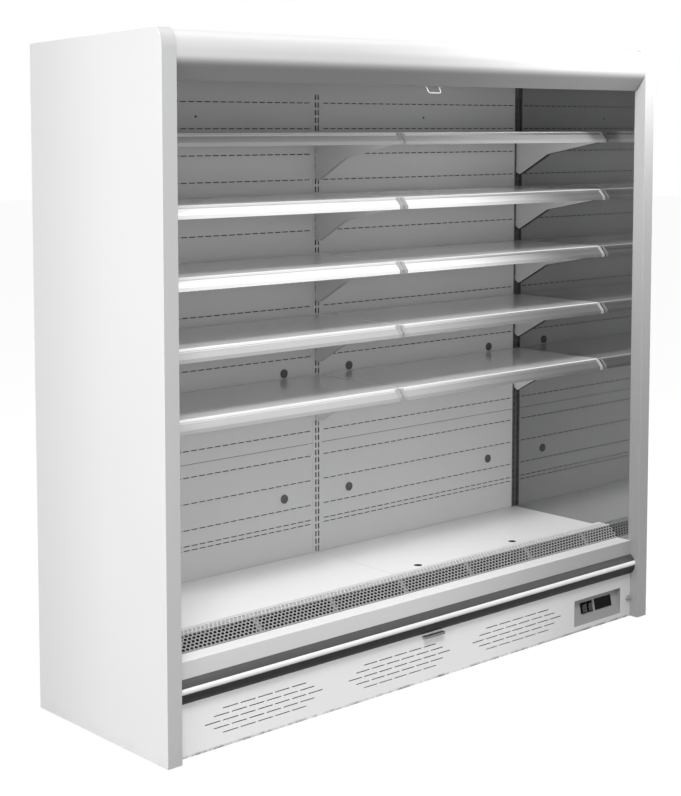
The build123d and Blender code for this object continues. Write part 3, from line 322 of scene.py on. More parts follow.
def coatSkinGroup():
    # powder coat's orange peel over the sheet's own slow waviness
    tree, start, end = startGroup("coatSkin", ["Grain", "Peel", "Wave"], ["Normal"])
    place = put(tree, "TexCoord")
    peel = put(tree, "TexNoise", Detail=2.0, Roughness=0.45)
    wave = put(tree, "TexNoise", Scale=2.3, Detail=1.0)
    waveBump = put(tree, "Bump", Distance=0.004)
    peelBump = put(tree, "Bump", Distance=0.0003)
    wire(tree, place.outputs["Object"], peel.inputs["Vector"])
    wire(tree, place.outputs["Object"], wave.inputs["Vector"])
    wire(tree, start.outputs["Grain"], peel.inputs["Scale"])
    wire(tree, start.outputs["Wave"], waveBump.inputs["Strength"])
    wire(tree, start.outputs["Peel"], peelBump.inputs["Strength"])
    wire(tree, wave.outputs["Fac"], waveBump.inputs["Height"])
    wire(tree, peel.outputs["Fac"], peelBump.inputs["Height"])
    wire(tree, waveBump.outputs["Normal"], peelBump.inputs["Normal"])
    wire(tree, peelBump.outputs["Normal"], end.inputs["Normal"])
    return tree


def floorGrimeAndShadowGroup():
    # a broken grey film that thins out upwards from the floor: floor grime, and with a dark colour a painted
    # shadow line along a bottom edge
    tree, start, end = startGroup("floorGrime", ["Top", "Amount"], ["Mask"])
    place = put(tree, "TexCoord")
    split = put(tree, "SeparateXYZ")
    fall = put(tree, "MapRange", From_Max=0.0)
    noise = put(tree, "TexNoise", Scale=26.0, Detail=5.0, Roughness=0.65)
    patches = put(tree, "MapRange", From_Min=0.38, From_Max=0.68)
    times = put(tree, "Math", operation="MULTIPLY")
    amount = put(tree, "Math", operation="MULTIPLY", use_clamp=True)
    wire(tree, place.outputs["Object"], split.inputs["Vector"])
    wire(tree, place.outputs["Object"], noise.inputs["Vector"])
    wire(tree, split.outputs["Z"], fall.inputs["Value"])
    wire(tree, start.outputs["Top"], fall.inputs["From Min"])
    wire(tree, noise.outputs["Fac"], patches.inputs["Value"])
    wire(tree, fall.outputs["Result"], times.inputs[0])
    wire(tree, patches.outputs["Result"], times.inputs[1])
    wire(tree, times.outputs[0], amount.inputs[0])
    wire(tree, start.outputs["Amount"], amount.inputs[1])
    wire(tree, amount.outputs[0], end.inputs["Mask"])
    return tree


def brushLinesGroup():
    # fine lines along X, as from a rolling mill or a brush
    tree, start, end = startGroup("brushLines", ["Fineness", "Depth"], ["Mask", "Normal"])
    place = put(tree, "TexCoord")
    stretch = put(tree, "Mapping", Scale=(0.012, 1.0, 1.0))
    noise = put(tree, "TexNoise", Detail=3.0, Roughness=0.6)
    bump = put(tree, "Bump", Distance=0.0002)
    wire(tree, place.outputs["Object"], stretch.inputs["Vector"])
    wire(tree, stretch.outputs["Vector"], noise.inputs["Vector"])
    wire(tree, start.outputs["Fineness"], noise.inputs["Scale"])
    wire(tree, start.outputs["Depth"], bump.inputs["Strength"])
    wire(tree, noise.outputs["Fac"], bump.inputs["Height"])
    wire(tree, noise.outputs["Fac"], end.inputs["Mask"])
    wire(tree, bump.outputs["Normal"], end.inputs["Normal"])
    return tree


def zincFlowersGroup():
    # the crystal patches of galvanised steel
    tree, start, end = startGroup("zincFlowers", ["Scale"], ["Mask"])
    place = put(tree, "TexCoord")
    cells = put(tree, "TexVoronoi", feature="F1")
    split = put(tree, "SeparateColor")
    wire(tree, place.outputs["Object"], cells.inputs["Vector"])
    wire(tree, start.outputs["Scale"], cells.inputs["Scale"])
    wire(tree, cells.outputs["Color"], split.inputs["Color"])
    wire(tree, split.outputs["Red"], end.inputs["Mask"])
    return tree


def clothWeaveGroup():
    # plain weave of the blind, threads along X and up the drop
    tree, start, end = startGroup("clothWeave", ["Threads"], ["Mask", "Height"])
    place = put(tree, "TexCoord")
    warp = put(tree, "TexWave", wave_type="BANDS", bands_direction="X", Distortion=0.3)
    weft = put(tree, "TexWave", wave_type="BANDS", bands_direction="Z", Distortion=0.3)
    most = put(tree, "Math", operation="MAXIMUM")
    times = put(tree, "Math", operation="MULTIPLY")
    for wave in (warp, weft):
        wire(tree, place.outputs["Object"], wave.inputs["Vector"])
        wire(tree, start.outputs["Threads"], wave.inputs["Scale"])
    wire(tree, warp.outputs["Fac"], most.inputs[0])
    wire(tree, weft.outputs["Fac"], most.inputs[1])
    wire(tree, warp.outputs["Fac"], times.inputs[0])
    wire(tree, weft.outputs["Fac"], times.inputs[1])
    wire(tree, times.outputs[0], end.inputs["Mask"])
    wire(tree, most.outputs[0], end.inputs["Height"])
    return tree


groups = {
    "softMottle": softMottleGroup(),
    "coatSkin": coatSkinGroup(),
    "floorGrime": floorGrimeAndShadowGroup(),
    "brushLines": brushLinesGroup(),
    "zincFlowers": zincFlowersGroup(),
    "clothWeave": clothWeaveGroup(),
}


def startFinish(name):
    finish = bpy.data.materials.new(name)
    finish.use_nodes = True
    return finish, finish.node_tree, finish.node_tree.nodes["Principled BSDF"]


def useGroup(tree, name, **values):
    return put(tree, "Group", node_tree=groups[name], **values)


def mixColour(tree, mask, first, second):
    # two colours mixed by a mask, each of them fixed or from another node
    mix = put(tree, "Mix", data_type="RGBA")
    wire(tree, mask, mix.inputs[0])
    for index, colour in ((6, first), (7, second)):
        if isinstance(colour, tuple):
            mix.inputs[index].default_value = (*colour, 1)
        else:
            wire(tree, colour, mix.inputs[index])
    return mix.outputs[2]


def surface(tree, shader, colour, normal, mask, gloss, wear):
    # as smooth as its gloss says, and rougher by its wear where the mask is full
    spread = put(tree, "MapRange", To_Min=gloss, To_Max=gloss + wear)
    wire(tree, mask, spread.inputs["Value"])
    wire(tree, spread.outputs["Result"], shader.inputs["Roughness"])
    wire(tree, colour, shader.inputs["Base Color"])
    wire(tree, normal, shader.inputs["Normal"])


def paintedShadeColour(tree, colour, look):
    # painted shade: the colour turns into the darker, shaded one between two places along an axis
    if "fade" not in look:
        return colour
    axis, first, second = look["fade"]
    place = put(tree, "TexCoord")
    split = put(tree, "SeparateXYZ")
    share = put(tree, "MapRange", interpolation_type="SMOOTHSTEP", From_Min=first, From_Max=second)
    wire(tree, place.outputs["Object"], split.inputs["Vector"])
    wire(tree, split.outputs[axis], share.inputs["Value"])
    return mixColour(tree, share.outputs["Result"], colour, look["faded"])


def paintedSteel(name, look):
    finish, tree, shader = startFinish(name)
    mottle = useGroup(tree, "softMottle", Scale=3.0, Spread=0.45)
    # grime near the floor, and on the kick plate a painted shadow line along its bottom edge
    grime = useGroup(tree, "floorGrime", Top=look.get("grimeTop", 0.1), Amount=look.get("grime", 0.0))
    skin = useGroup(tree, "coatSkin", Grain=420.0, Peel=look.get("peel", 0.06), Wave=look.get("wave", 0.06))
    paint = mixColour(tree, mottle.outputs["Mask"], look["tone"], look["shade"])
    dirt = look.get("dirt", (0.25, 0.24, 0.22))
    dirtyAndShadowed = mixColour(tree, grime.outputs["Mask"], paintedShadeColour(tree, paint, look), dirt)
    surface(tree, shader, dirtyAndShadowed, skin.outputs["Normal"], mottle.outputs["Mask"], look["gloss"], wear=0.07)
    fill(shader, Coat_Weight=look.get("coat", 0.0), Coat_Roughness=0.12)
    return finish


def platedSteel(name, look):
    finish, tree, shader = startFinish(name)
    flowers = useGroup(tree, "zincFlowers", Scale=look["flower"])
    lines = useGroup(tree, "brushLines", Fineness=700.0, Depth=0.08)
    metal = mixColour(tree, flowers.outputs["Mask"], look["tone"], look["shade"])
    surface(tree, shader, metal, lines.outputs["Normal"], flowers.outputs["Mask"], look["gloss"], wear=0.15)
    fill(shader, Metallic=1.0)
    return finish


def brushedMetal(name, look):
    finish, tree, shader = startFinish(name)
    lines = useGroup(tree, "brushLines", Fineness=900.0, Depth=0.1)
    metal = mixColour(tree, lines.outputs["Mask"], look["tone"], look["shade"])
    surface(tree, shader, metal, lines.outputs["Normal"], lines.outputs["Mask"], look["gloss"], wear=0.12)
    fill(shader, Metallic=1.0)
    return finish


def mouldedPlastic(name, look):
    finish, tree, shader = startFinish(name)
    mottle = useGroup(tree, "softMottle", Scale=30.0, Spread=0.25)
    skin = useGroup(tree, "coatSkin", Grain=900.0, Peel=look.get("peel", 0.12), Wave=0.0)
    plastic = paintedShadeColour(tree, mixColour(tree, mottle.outputs["Mask"], look["tone"], look["shade"]), look)
    surface(tree, shader, plastic, skin.outputs["Normal"], mottle.outputs["Mask"], look["gloss"],
            look.get("wear", 0.08))
    fill(shader, Coat_Weight=look.get("coat", 0.0), Specular_IOR_Level=look.get("shine", 0.5))
    return finish


def mirrorSheet(name, look):
    finish, tree, shader = startFinish(name)
    smear = useGroup(tree, "softMottle", Scale=9.0, Spread=0.3)
    skin = useGroup(tree, "coatSkin", Grain=200.0, Peel=0.0, Wave=look["wave"])
    glass = mixColour(tree, smear.outputs["Mask"], look["tone"], look["shade"])
    surface(tree, shader, glass, skin.outputs["Normal"], smear.outputs["Mask"], look["gloss"], wear=0.05)
    fill(shader, Metallic=look["metal"])
    return finish


def lampCover(name, look):
    finish, tree, shader = startFinish(name)
    ribs = useGroup(tree, "brushLines", Fineness=500.0, Depth=0.3)
    cover = mixColour(tree, ribs.outputs["Mask"], look["tone"], look["shade"])
    surface(tree, shader, cover, ribs.outputs["Normal"], ribs.outputs["Mask"], look["gloss"], wear=0.1)
    fill(shader, Subsurface_Weight=0.2, Subsurface_Radius=(0.01, 0.01, 0.01))
    return finish


def blindCloth(name, look):
    finish, tree, shader = startFinish(name)
    weave = useGroup(tree, "clothWeave", Threads=look["threads"])
    mottle = useGroup(tree, "softMottle", Scale=8.0, Spread=0.25)
    yarn = mixColour(tree, weave.outputs["Mask"], look["shade"], look["tone"])
    worn = mixColour(tree, mottle.outputs["Mask"], yarn, look["worn"])
    bump = put(tree, "Bump", Distance=0.0003, Strength=0.5)
    wire(tree, weave.outputs["Height"], bump.inputs["Height"])
    surface(tree, shader, worn, bump.outputs["Normal"], weave.outputs["Mask"], gloss=0.75, wear=0.15)
    fill(shader, Sheen_Weight=0.3)
    return finish


def grey(level, tint=(0.0, 0.0, 0.0)):
    # a base colour from its brightness as seen on a screen, 0 to 1
    linear = level / 12.92 if level <= 0.04045 else ((level + 0.055) / 1.055) ** 2.4
    return tuple(max(linear + part, 0.0) for part in tint)


looks = {
    # painted shade: the end panels darker towards the rear
    "white_panel": (paintedSteel, {
        "tone": grey(0.92), "shade": grey(0.905), "gloss": 0.34, "grime": 0.10, "grimeTop": 0.05,
        "fade": ("Y", -0.1, 0.33), "faded": grey(0.86)}),
    "grey_trim": (paintedSteel, {
        "tone": grey(0.74, (-0.004, 0.0, 0.001)), "shade": grey(0.725), "gloss": 0.38, "grime": 0.2}),
    # painted shade: the right front trim, darker towards the floor
    "trim_shaded": (paintedSteel, {
        "tone": grey(0.82), "shade": grey(0.80), "gloss": 0.38, "grime": 0.2,
        "fade": ("Z", 1.9, 0.5), "faded": grey(0.62)}),
    # painted shade: the canopy darker on its chin and under-face
    "canopy_white": (paintedSteel, {
        "tone": grey(0.79), "shade": grey(0.78), "gloss": 0.30, "coat": 0.1, "wave": 0.08, "grime": 0.15,
        "fade": ("Z", 1.934, 1.895), "faded": grey(0.50)}),
    "mirror_grey": (mirrorSheet, {
        "tone": grey(0.66, (-0.010, 0.0, -0.006)), "shade": grey(0.64), "gloss": 0.02, "metal": 0.96,
        "wave": 0.002}),
    "liner_grey": (paintedSteel, {
        "tone": grey(0.84, (-0.012, 0.0, -0.008)), "shade": grey(0.82), "gloss": 0.42, "wave": 0.12}),
    "plug_grey": (mouldedPlastic, {"tone": grey(0.36), "shade": grey(0.31), "gloss": 0.45}),
    # painted shade: the deck darker towards the right
    "deck_white": (paintedSteel, {
        "tone": grey(0.98), "shade": grey(0.975), "gloss": 0.34, "wave": 0.01, "peel": 0.03,
        "fade": ("X", 0.0, 1.0), "faded": grey(0.88)}),
    "shelf_white": (paintedSteel, {"tone": grey(0.92), "shade": grey(0.91), "gloss": 0.12, "coat": 0.4}),
    # painted shade: the price rails and ticket strips darker towards the right
    "rail_white": (mouldedPlastic, {
        "tone": grey(0.86), "shade": grey(0.85), "gloss": 0.2, "peel": 0.03, "wear": 0.02,
        "fade": ("X", -0.1, 0.8), "faded": grey(0.52)}),
    "ticket_white": (mouldedPlastic, {
        "tone": grey(0.99), "shade": grey(0.985), "gloss": 0.14, "peel": 0.02, "wear": 0.01, "coat": 0.6,
        "fade": ("X", 0.1, 0.85), "faded": grey(0.44)}),
    # painted shade: the tickets of the lower rows darker
    "ticket_aged": (mouldedPlastic, {
        "tone": grey(0.72), "shade": grey(0.715), "gloss": 0.26, "peel": 0.02, "wear": 0.01,
        "fade": ("X", -0.2, 0.85), "faded": grey(0.42)}),
    # painted shadow: the top row's tickets, in the canopy's shadow
    "ticket_shaded": (mouldedPlastic, {
        "tone": grey(0.69), "shade": grey(0.685), "gloss": 0.34, "peel": 0.02, "wear": 0.01}),
    "cap_grey": (mouldedPlastic, {"tone": grey(0.66), "shade": grey(0.63), "gloss": 0.3}),
    "rib_grey": (paintedSteel, {"tone": grey(0.52), "shade": grey(0.50), "gloss": 0.4}),
    "grille_grey": (paintedSteel, {"tone": grey(0.58), "shade": grey(0.56), "gloss": 0.36}),
    # painted light: the grille's flat top lighter than its sloped face, the same sheet
    "grille_flat": (paintedSteel, {"tone": grey(0.88), "shade": grey(0.86), "gloss": 0.36}),
    # dark, and also the painted shade on the walls of the grille's holes
    "tub_dark": (paintedSteel, {"tone": grey(0.20), "shade": grey(0.17), "gloss": 0.5}),
    # painted shade: the front panel darker towards the right; its top ledge has the deck's white as painted
    # light
    "grey_front": (paintedSteel, {
        "tone": grey(0.84), "shade": grey(0.825), "gloss": 0.32, "fade": ("X", -0.2, 1.0),
        "faded": grey(0.62)}),
    "bumper_rubber": (mouldedPlastic, {"tone": grey(0.27), "shade": grey(0.25), "gloss": 0.30}),
    # painted shade: the bumper's lower band, which faces down
    "bumper_shade": (mouldedPlastic, {"tone": grey(0.21), "shade": grey(0.19), "gloss": 0.5, "shine": 0.1}),
    "bright_trim": (mouldedPlastic, {"tone": grey(0.93), "shade": grey(0.90), "gloss": 0.30, "peel": 0.02}),
    # painted shade: the kick plate darker towards the right, with a near-black painted shadow line along its
    # bottom edge
    "kick_white": (paintedSteel, {
        "tone": grey(0.96), "shade": grey(0.95), "gloss": 0.34, "grime": 1.8, "grimeTop": 0.012,
        "dirt": (0.06, 0.06, 0.055), "fade": ("X", 0.2, 1.0), "faded": grey(0.80)}),
    # the catch's grey: its own colour and painted shade under the bumper
    "catch_grey": (paintedSteel, {
        "tone": grey(0.50, (0.0, 0.0, -0.01)), "shade": grey(0.47), "gloss": 0.40}),
    "control_grey": (paintedSteel, {"tone": grey(0.56), "shade": grey(0.54), "gloss": 0.36}),
    # painted shade: the posts beside the mirrors, in the gap's shade
    "post_dark": (paintedSteel, {"tone": grey(0.36), "shade": grey(0.33), "gloss": 0.45}),
    # painted shade: black where slots look into the shade behind the liners
    "duct_black": (paintedSteel, {"tone": grey(0.10), "shade": grey(0.08), "gloss": 0.6}),
    "knob_grey": (mouldedPlastic, {"tone": grey(0.62), "shade": grey(0.57), "gloss": 0.4}),
    "black_gloss": (mouldedPlastic, {
        "tone": grey(0.05), "shade": grey(0.04), "gloss": 0.18, "peel": 0.0, "shine": 0.05}),
    "rocker_black": (mouldedPlastic, {"tone": grey(0.13), "shade": grey(0.10), "gloss": 0.3, "shine": 0.35}),
    "black_plastic": (mouldedPlastic, {"tone": grey(0.16), "shade": grey(0.13), "gloss": 0.42}),
    "foot_plastic": (mouldedPlastic, {"tone": grey(0.24), "shade": grey(0.2), "gloss": 0.5}),
    "white_liner": (paintedSteel, {"tone": grey(0.88), "shade": grey(0.86), "gloss": 0.4}),
    "lamp_diffuser": (lampCover, {"tone": grey(0.93), "shade": grey(0.9), "gloss": 0.35}),
    "galvanised": (platedSteel, {"tone": grey(0.74), "shade": grey(0.70), "gloss": 0.38, "flower": 45.0}),
    "blind_fabric": (blindCloth, {
        "tone": grey(0.82), "shade": grey(0.66), "worn": grey(0.74), "threads": 700.0}),
    "blind_bar_metal": (brushedMetal, {"tone": grey(0.86), "shade": grey(0.78), "gloss": 0.3}),
    "wire_grey": (paintedSteel, {"tone": grey(0.86), "shade": grey(0.83), "gloss": 0.3}),
    "fin_aluminium": (brushedMetal, {"tone": grey(0.84), "shade": grey(0.72), "gloss": 0.34}),
    "compressor_black": (paintedSteel, {
        "tone": grey(0.14), "shade": grey(0.11), "gloss": 0.34, "coat": 0.3}),
    "condenser_black": (paintedSteel, {"tone": grey(0.16), "shade": grey(0.12), "gloss": 0.45}),
    "copper": (brushedMetal, {"tone": (0.72, 0.33, 0.18), "shade": (0.50, 0.22, 0.12), "gloss": 0.3}),
    "box_grey": (mouldedPlastic, {"tone": grey(0.66), "shade": grey(0.62), "gloss": 0.45}),
}
finishes = {slot: maker(slot, look) for slot, (maker, look) in looks.items()}
for node, cad in nodes.items():
    finish = finishes[slotOf[node]]
    for place in cad.material_slots:
        place.material = finish
print("finishes made:", len(finishes))


# canopy: its cover is one folded sheet from the roof over nose and chin to the hemmed lip
canopy = {
    "crown": 1.996, "rear": 0.090, "setback": 0.002,
    "noseDepth": 0.030, "noseHeight": 0.055,
    "chinTop": 1.925, "chinRadius": 0.040, "chinAngle": 35,
    "lip": 1.862, "hem": 0.006, "hemDepth": 0.003, "sheet": 0.002, "arcSteps": 14,
    "edge": 0.0006, "edgeAngle": 50, "smoothAngle": 30,
}


def buildCanopy():
    c = canopy
    nose = arcPoints((c["noseDepth"], c["crown"] - c["noseHeight"]),
                     (c["noseDepth"] - c["setback"], c["noseHeight"]), 90, 180, c["arcSteps"])
    chin = arcPoints((c["setback"] + c["chinRadius"], c["chinTop"]), (c["chinRadius"], c["chinRadius"]),
                     180, 180 + c["chinAngle"], c["arcSteps"] // 2)
    slope = math.radians(c["chinAngle"])
    run = (chin[-1][1] - c["lip"]) / math.cos(slope)
    lip = (chin[-1][0] + run * math.sin(slope), c["lip"])
    hem = [(lip[0] + c["hemDepth"], lip[1]), (lip[0] + c["hemDepth"], lip[1] + c["hem"])]
    path = [(c["rear"], c["crown"])] + nose + chin + [lip] + hem
    span = (-cabinet["innerHalf"], cabinet["innerHalf"])
    cover = foldSheet("canopyCover", path, span, c["sheet"])
    roundEdges(cover, c["edge"], degrees=c["edgeAngle"])
    smooth(cover, c["smoothAngle"])
    finishPiece(cover, finishes["canopy_white"], stands=("canopy_cover",))


buildCanopy()
print("canopy made")

# pieces that keep their shape: how wide their edges are rounded, and what isn't finished as its slot says
edgeWidths = {
    "left_end_panel": 0.0012, "right_end_panel": 0.0012, "left_front_trim": 0.0010,
    "right_front_trim": 0.0010, "kick_plate_knob": 0.0010, "control_plate": 0.0004, "control_units": 0.0006,
    "main_switch": 0.0007, "lamp_switch": 0.0007, "liner_plugs": 0.0008, "power_inlet": 0.0008,
    "levelling_feet": 0.0008, "canopy_lamp": 0.0010, "canopy_duct": 0.0004, "mirror_linings": 0.0004,
    "insulated_tub": 0.0006, "compressor": 0.0008, "condenser_fan_plate": 0.0004, "condenser_fan": 0.0003,
    "fan_plate": 0.0004, "evaporator_fan_1": 0.0003, "evaporator_fan_2": 0.0003, "evaporator_fan_3": 0.0003,
    "blind_handle": 0.0, "service_pipes": 0.0,
    "deck_pan_left": 0.0005, "deck_pan_right": 0.0005, "roof_panel": 0.0008,
    "shelf_brackets": 0.0004, "base_frame": 0.0008, "condensate_tray": 0.0006, "electrical_box": 0.0015,
}
for number in range(1, 6):
    for side in ("left", "right"):
        edgeWidths[f"shelf_{number}_{side}"] = 0.0005
# the right front trim gets painted shade, the tub and fan plate are dark, the control plate has its own grey
otherFinish = {
    "right_front_trim": "trim_shaded", "control_plate": "control_grey", "insulated_tub": "tub_dark",
    "fan_plate": "tub_dark",
}
for node, width in edgeWidths.items():
    dressed(node, finishes[otherFinish.get(node, slotOf[node])], width)
print("sheets dressed:", len(edgeWidths))

# pieces of two finishes
twoTone = {
    "edge": {"kick_plate": 0.0003, "front_panel": 0.0006, "rear_wall": 0.0010, "slotted_posts": 0.0002,
             "blind_roller": 0.0003},
    "catchDepth": 0.0335, "catchHalf": 0.05, "catchBottom": 0.13, "catchSlope": 0.5,
    "level": 0.7,           # how much of a face's normal is upwards or forwards where the second finish is
    "outerPosts": 0.5,      # the posts further than this from the middle get painted shade
    "slotHalf": 0.012, "slotDepth": 0.0021, "slotWall": 0.5, "pinRadius": 0.006,
}


def buildTwoTone():
    # the grey catch on the kick plate with painted shadow on top, the front panel's top in white as painted
    # light, black painted shade on the rear wall behind the liners, painted shade on the posts beside the
    # mirrors and in the middle posts' slots, and the roller's bare pins
    t = twoTone
    kick, panel, wall, posts, roller = (dressed(node, finishes[slotOf[node]], width)
                                        for node, width in t["edge"].items())
    catchFront = fromFront(t["catchDepth"])
    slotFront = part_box("slotted_posts")[0].y + t["slotDepth"]
    low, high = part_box("blind_roller")
    axis = (low + high) / 2

    def onCatch(face):
        at = face.center
        return at.y < catchFront and abs(at.x) < t["catchHalf"] and at.z > t["catchBottom"]

    def onSlotWall(face):
        at = face.center
        return abs(at.x) < t["slotHalf"] and abs(face.normal.y) < t["slotWall"] and at.y < slotFront

    # the catch in grey, partly painted shade, and black on its top faces as painted shadow under the bumper
    secondFinish(kick, finishes["catch_grey"], onCatch)
    secondFinish(kick, finishes["black_plastic"],
                 lambda face: onCatch(face) and face.normal.z > t["catchSlope"])
    # painted light: the front panel's upward faces in white
    secondFinish(panel, finishes["deck_white"], lambda face: face.normal.z > t["level"])
    # painted shade: black on the rear wall's front behind the liner slots
    secondFinish(wall, finishes["duct_black"], lambda face: face.normal.y < -t["level"])
    # painted shade on the posts beside the mirrors
    secondFinish(posts, finishes["post_dark"], lambda face: abs(face.center.x) > t["outerPosts"])
    # painted shade in black on the walls of the middle posts' slots
    secondFinish(posts, finishes["duct_black"], onSlotWall)
    secondFinish(roller, finishes["wire_grey"], lambda face: (face.center - axis).yz.length < t["pinRadius"])


buildTwoTone()
print("two-tone pieces made")

# price rails: hemmed carrier, ticket strip and moulded end caps on each shelf lip
rail = {
    "lipFront": 0.194, "lipAngle": 41, "start": 0.0055, "slope": 0.038, "drop": 0.011, "proud": 0.0030,
    "span": (-0.997, -0.003), "wall": 0.0010, "edge": 0.0003,
    "hook": 0.0035, "seat": 0.0004,             # the carrier's rear edge over the lip
    "hem": 0.0060, "hemDrop": 0.0118,
    "groove": 0.0030, "grooveDeep": 0.0020, "grooveSlant": 0.0005,
    "channelDeep": 0.0014, "channelSlant": 0.0003, "channelEnd": 0.0025,
    "stripWall": 0.0007, "stripStart": 0.0006, "stripShort": 0.0034, "stripDeep": 0.0013, "stripBow": 0.0009,
    "stripSteps": 6,
    "capWidth": 0.015, "capWall": 0.0040, "capStart": 0.0050, "capDrop": 0.0120, "capSeat": 0.0002,
    "capSheet": 0.0026, "capEdge": 0.0011, "capSmooth": 40,
    "shelfTops": sorted(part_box(f"shelf_{row}_left")[1].z for row in range(1, 6)),
    "above": 0.001,         # from a shelf's top to the end of its own row of rails
    "agedRow": 1, "shadedRow": 3,       # tickets under the one get painted shade and over the other the canopy's painted shadow, from 0 up
}


def lipPoint(along, outward):
    # (depth, height) on the slanted shelf lip, counted from the shelf's top front edge
    angle = math.radians(rail["lipAngle"])
    return (rail["lipFront"] - along * math.sin(angle) - outward * math.cos(angle),
            outward * math.sin(angle) - along * math.cos(angle))


def dropped(point, fall):
    return (point[0], point[1] - fall)


def underHem(height):
    # below the groove under the hem of the shelf front that this height is on
    tops = rail["shelfTops"]
    return min(top - height for top in tops if top > height - rail["above"]) > rail["hemDrop"]


def railModels():
    # carrier, ticket strip and end caps of a left shelf whose top is at height 0, each with its finish
    r = rail
    hemEnd = r["start"] + r["hem"]
    face = hemEnd + r["groove"]
    grooved = r["proud"] - r["grooveDeep"]
    sunk = r["proud"] - r["channelDeep"]
    low = lipPoint(r["slope"], r["proud"])
    path = [lipPoint(r["start"] + r["hook"], r["seat"]), lipPoint(r["start"], r["seat"]),
            lipPoint(r["start"], r["proud"]), lipPoint(hemEnd, r["proud"]),
            lipPoint(hemEnd + r["grooveSlant"], grooved), lipPoint(face, grooved),
            lipPoint(face + r["channelSlant"], sunk), lipPoint(r["slope"] - r["channelEnd"], sunk),
            lipPoint(r["slope"] - r["channelEnd"] + r["channelSlant"], r["proud"]),
            low, dropped(low, r["drop"])]
    carrier = foldSheet("priceRails", path, r["span"], r["wall"])
    roundEdges(carrier, r["edge"])
    smooth(carrier)
    strip = []
    for step in range(r["stripSteps"] + 1):
        share = step / r["stripSteps"]
        strip.append(lipPoint(face + r["stripStart"] + (r["slope"] - face - r["stripShort"]) * share,
                              r["proud"] - r["stripDeep"] + r["stripBow"] * math.sin(math.pi * share)))
    inner = (r["span"][0] + r["capWidth"], r["span"][1] - r["capWidth"])
    ticket = foldSheet("ticketStrips", strip, inner, r["stripWall"])
    smooth(ticket)
    capLow = lipPoint(r["slope"], r["capWall"])
    capPath = [lipPoint(r["capStart"], r["capSeat"]), lipPoint(r["capStart"], r["capWall"]), capLow,
               dropped(capLow, r["capDrop"])]
    caps = []
    for left in (r["span"][0], inner[1]):
        cap = foldSheet("railCaps", capPath, (left, left + r["capWidth"]), r["capSheet"])
        roundEdges(cap, r["capEdge"], 3)
        smooth(cap, r["capSmooth"])
        caps.append(cap)
    return {"priceRails": (carrier, "rail_white"), "ticketStrips": (ticket, "ticket_white"),
            "railCaps": (joined("railCaps", caps), "cap_grey")}


def buildPriceRails():
    r = rail
    # heights between which a finish is on the ticket strips and on the carrier under its hem: white, with
    # painted shade on the lower rows and the canopy's painted shadow on the top row
    bands = {"ticket_white": (0, math.inf), "ticket_aged": (0, r["shelfTops"][r["agedRow"]]),
             "ticket_shaded": (r["shelfTops"][r["shadedRow"]] + r["above"], math.inf)}
    for name, (model, finish) in railModels().items():
        for side, flip in (("Left", False), ("Right", True)):
            rows = [copied(model, name, (0, 0, top), flip) for top in r["shelfTops"]]
            stands = (f"price_rails_{side.lower()}",) if name == "priceRails" else ()
            rows = finishPiece(joined(name + side, rows), finishes[finish], stands=stands, slot="rail_white")
            if name == "railCaps":
                continue
            for band, (floor, ceiling) in bands.items():
                secondFinish(rows, finishes[band], lambda face: floor < face.center.z < ceiling and
                             (name == "ticketStrips" or underHem(face.center.z)))
        bpy.data.objects.remove(model)


buildPriceRails()
print("price rails made")

# bumper along the front, with its bright insert
bumper = {
    "rootDepth": 0.034, "noseDepth": 0.013, "bottom": 0.157, "height": 0.070, "arcSteps": 9,
    "grooveMiddle": 0.198, "grooveHeight": 0.018, "grooveDepth": 0.019, "insertNose": 0.0115,
    "shoulder": 0.0012, "shoulderDeep": 0.0004,     # the slant from the face into the groove
    "backGap": 0.0002, "backCorner": 0.0004,
    "edge": 0.0008, "edgeAngle": 40, "smoothAngle": 30, "insertSteps": 16, "insertSmooth": 40,
}


def bumperArc(low, high, steps):
    # points of the bowed face between two heights, on the circle through root and nose
    b = bumper
    half = b["height"] / 2
    rise = b["rootDepth"] - b["noseDepth"]
    radius = (half * half + rise * rise) / (2 * rise)
    middle = b["bottom"] + half
    points = []
    for step in range(steps + 1):
        height = low + (high - low) * step / steps
        points.append((b["noseDepth"] + radius - math.sqrt(radius ** 2 - (height - middle) ** 2), height))
    return points


def buildBumper():
    b = bumper
    span = (-halfSpan(), halfSpan())
    middle = b["grooveMiddle"]
    groove = (middle - b["grooveHeight"] / 2, middle + b["grooveHeight"] / 2)
    top = b["bottom"] + b["height"]
    back = b["rootDepth"] - b["backGap"]
    upper = bumperArc(top, groove[1] + b["shoulder"], b["arcSteps"])
    lower = bumperArc(groove[0] - b["shoulder"], b["bottom"], b["arcSteps"])
    outline = upper + [
        (upper[-1][0] + b["shoulderDeep"], groove[1]), (b["grooveDepth"], groove[1]),
        (b["grooveDepth"], groove[0]), (lower[0][0] + b["shoulderDeep"], groove[0]),
    ] + lower + [(back, b["bottom"] + b["backCorner"]), (back, top - b["backCorner"])]
    strip = closedBar("bumperStrip", outline, span)
    roundEdges(strip, b["edge"], degrees=b["edgeAngle"])
    smooth(strip, b["smoothAngle"])
    finishPiece(strip, finishes["bumper_rubber"], stands=("bumper",))
    # painted shade on the bumper's lower band
    secondFinish(strip, finishes["bumper_shade"], lambda face: face.center.z < middle)
    nose = b["grooveDepth"] - b["insertNose"]
    bow = arcPoints((b["grooveDepth"], middle), (nose, b["grooveHeight"] / 2), 90, 270, b["insertSteps"])
    insert = closedBar("bumperInsert", bow, span)
    smooth(insert, b["insertSmooth"])
    finishPiece(insert, finishes["bright_trim"], stands=("bumper_insert",))


buildBumper()
print("bumper made")

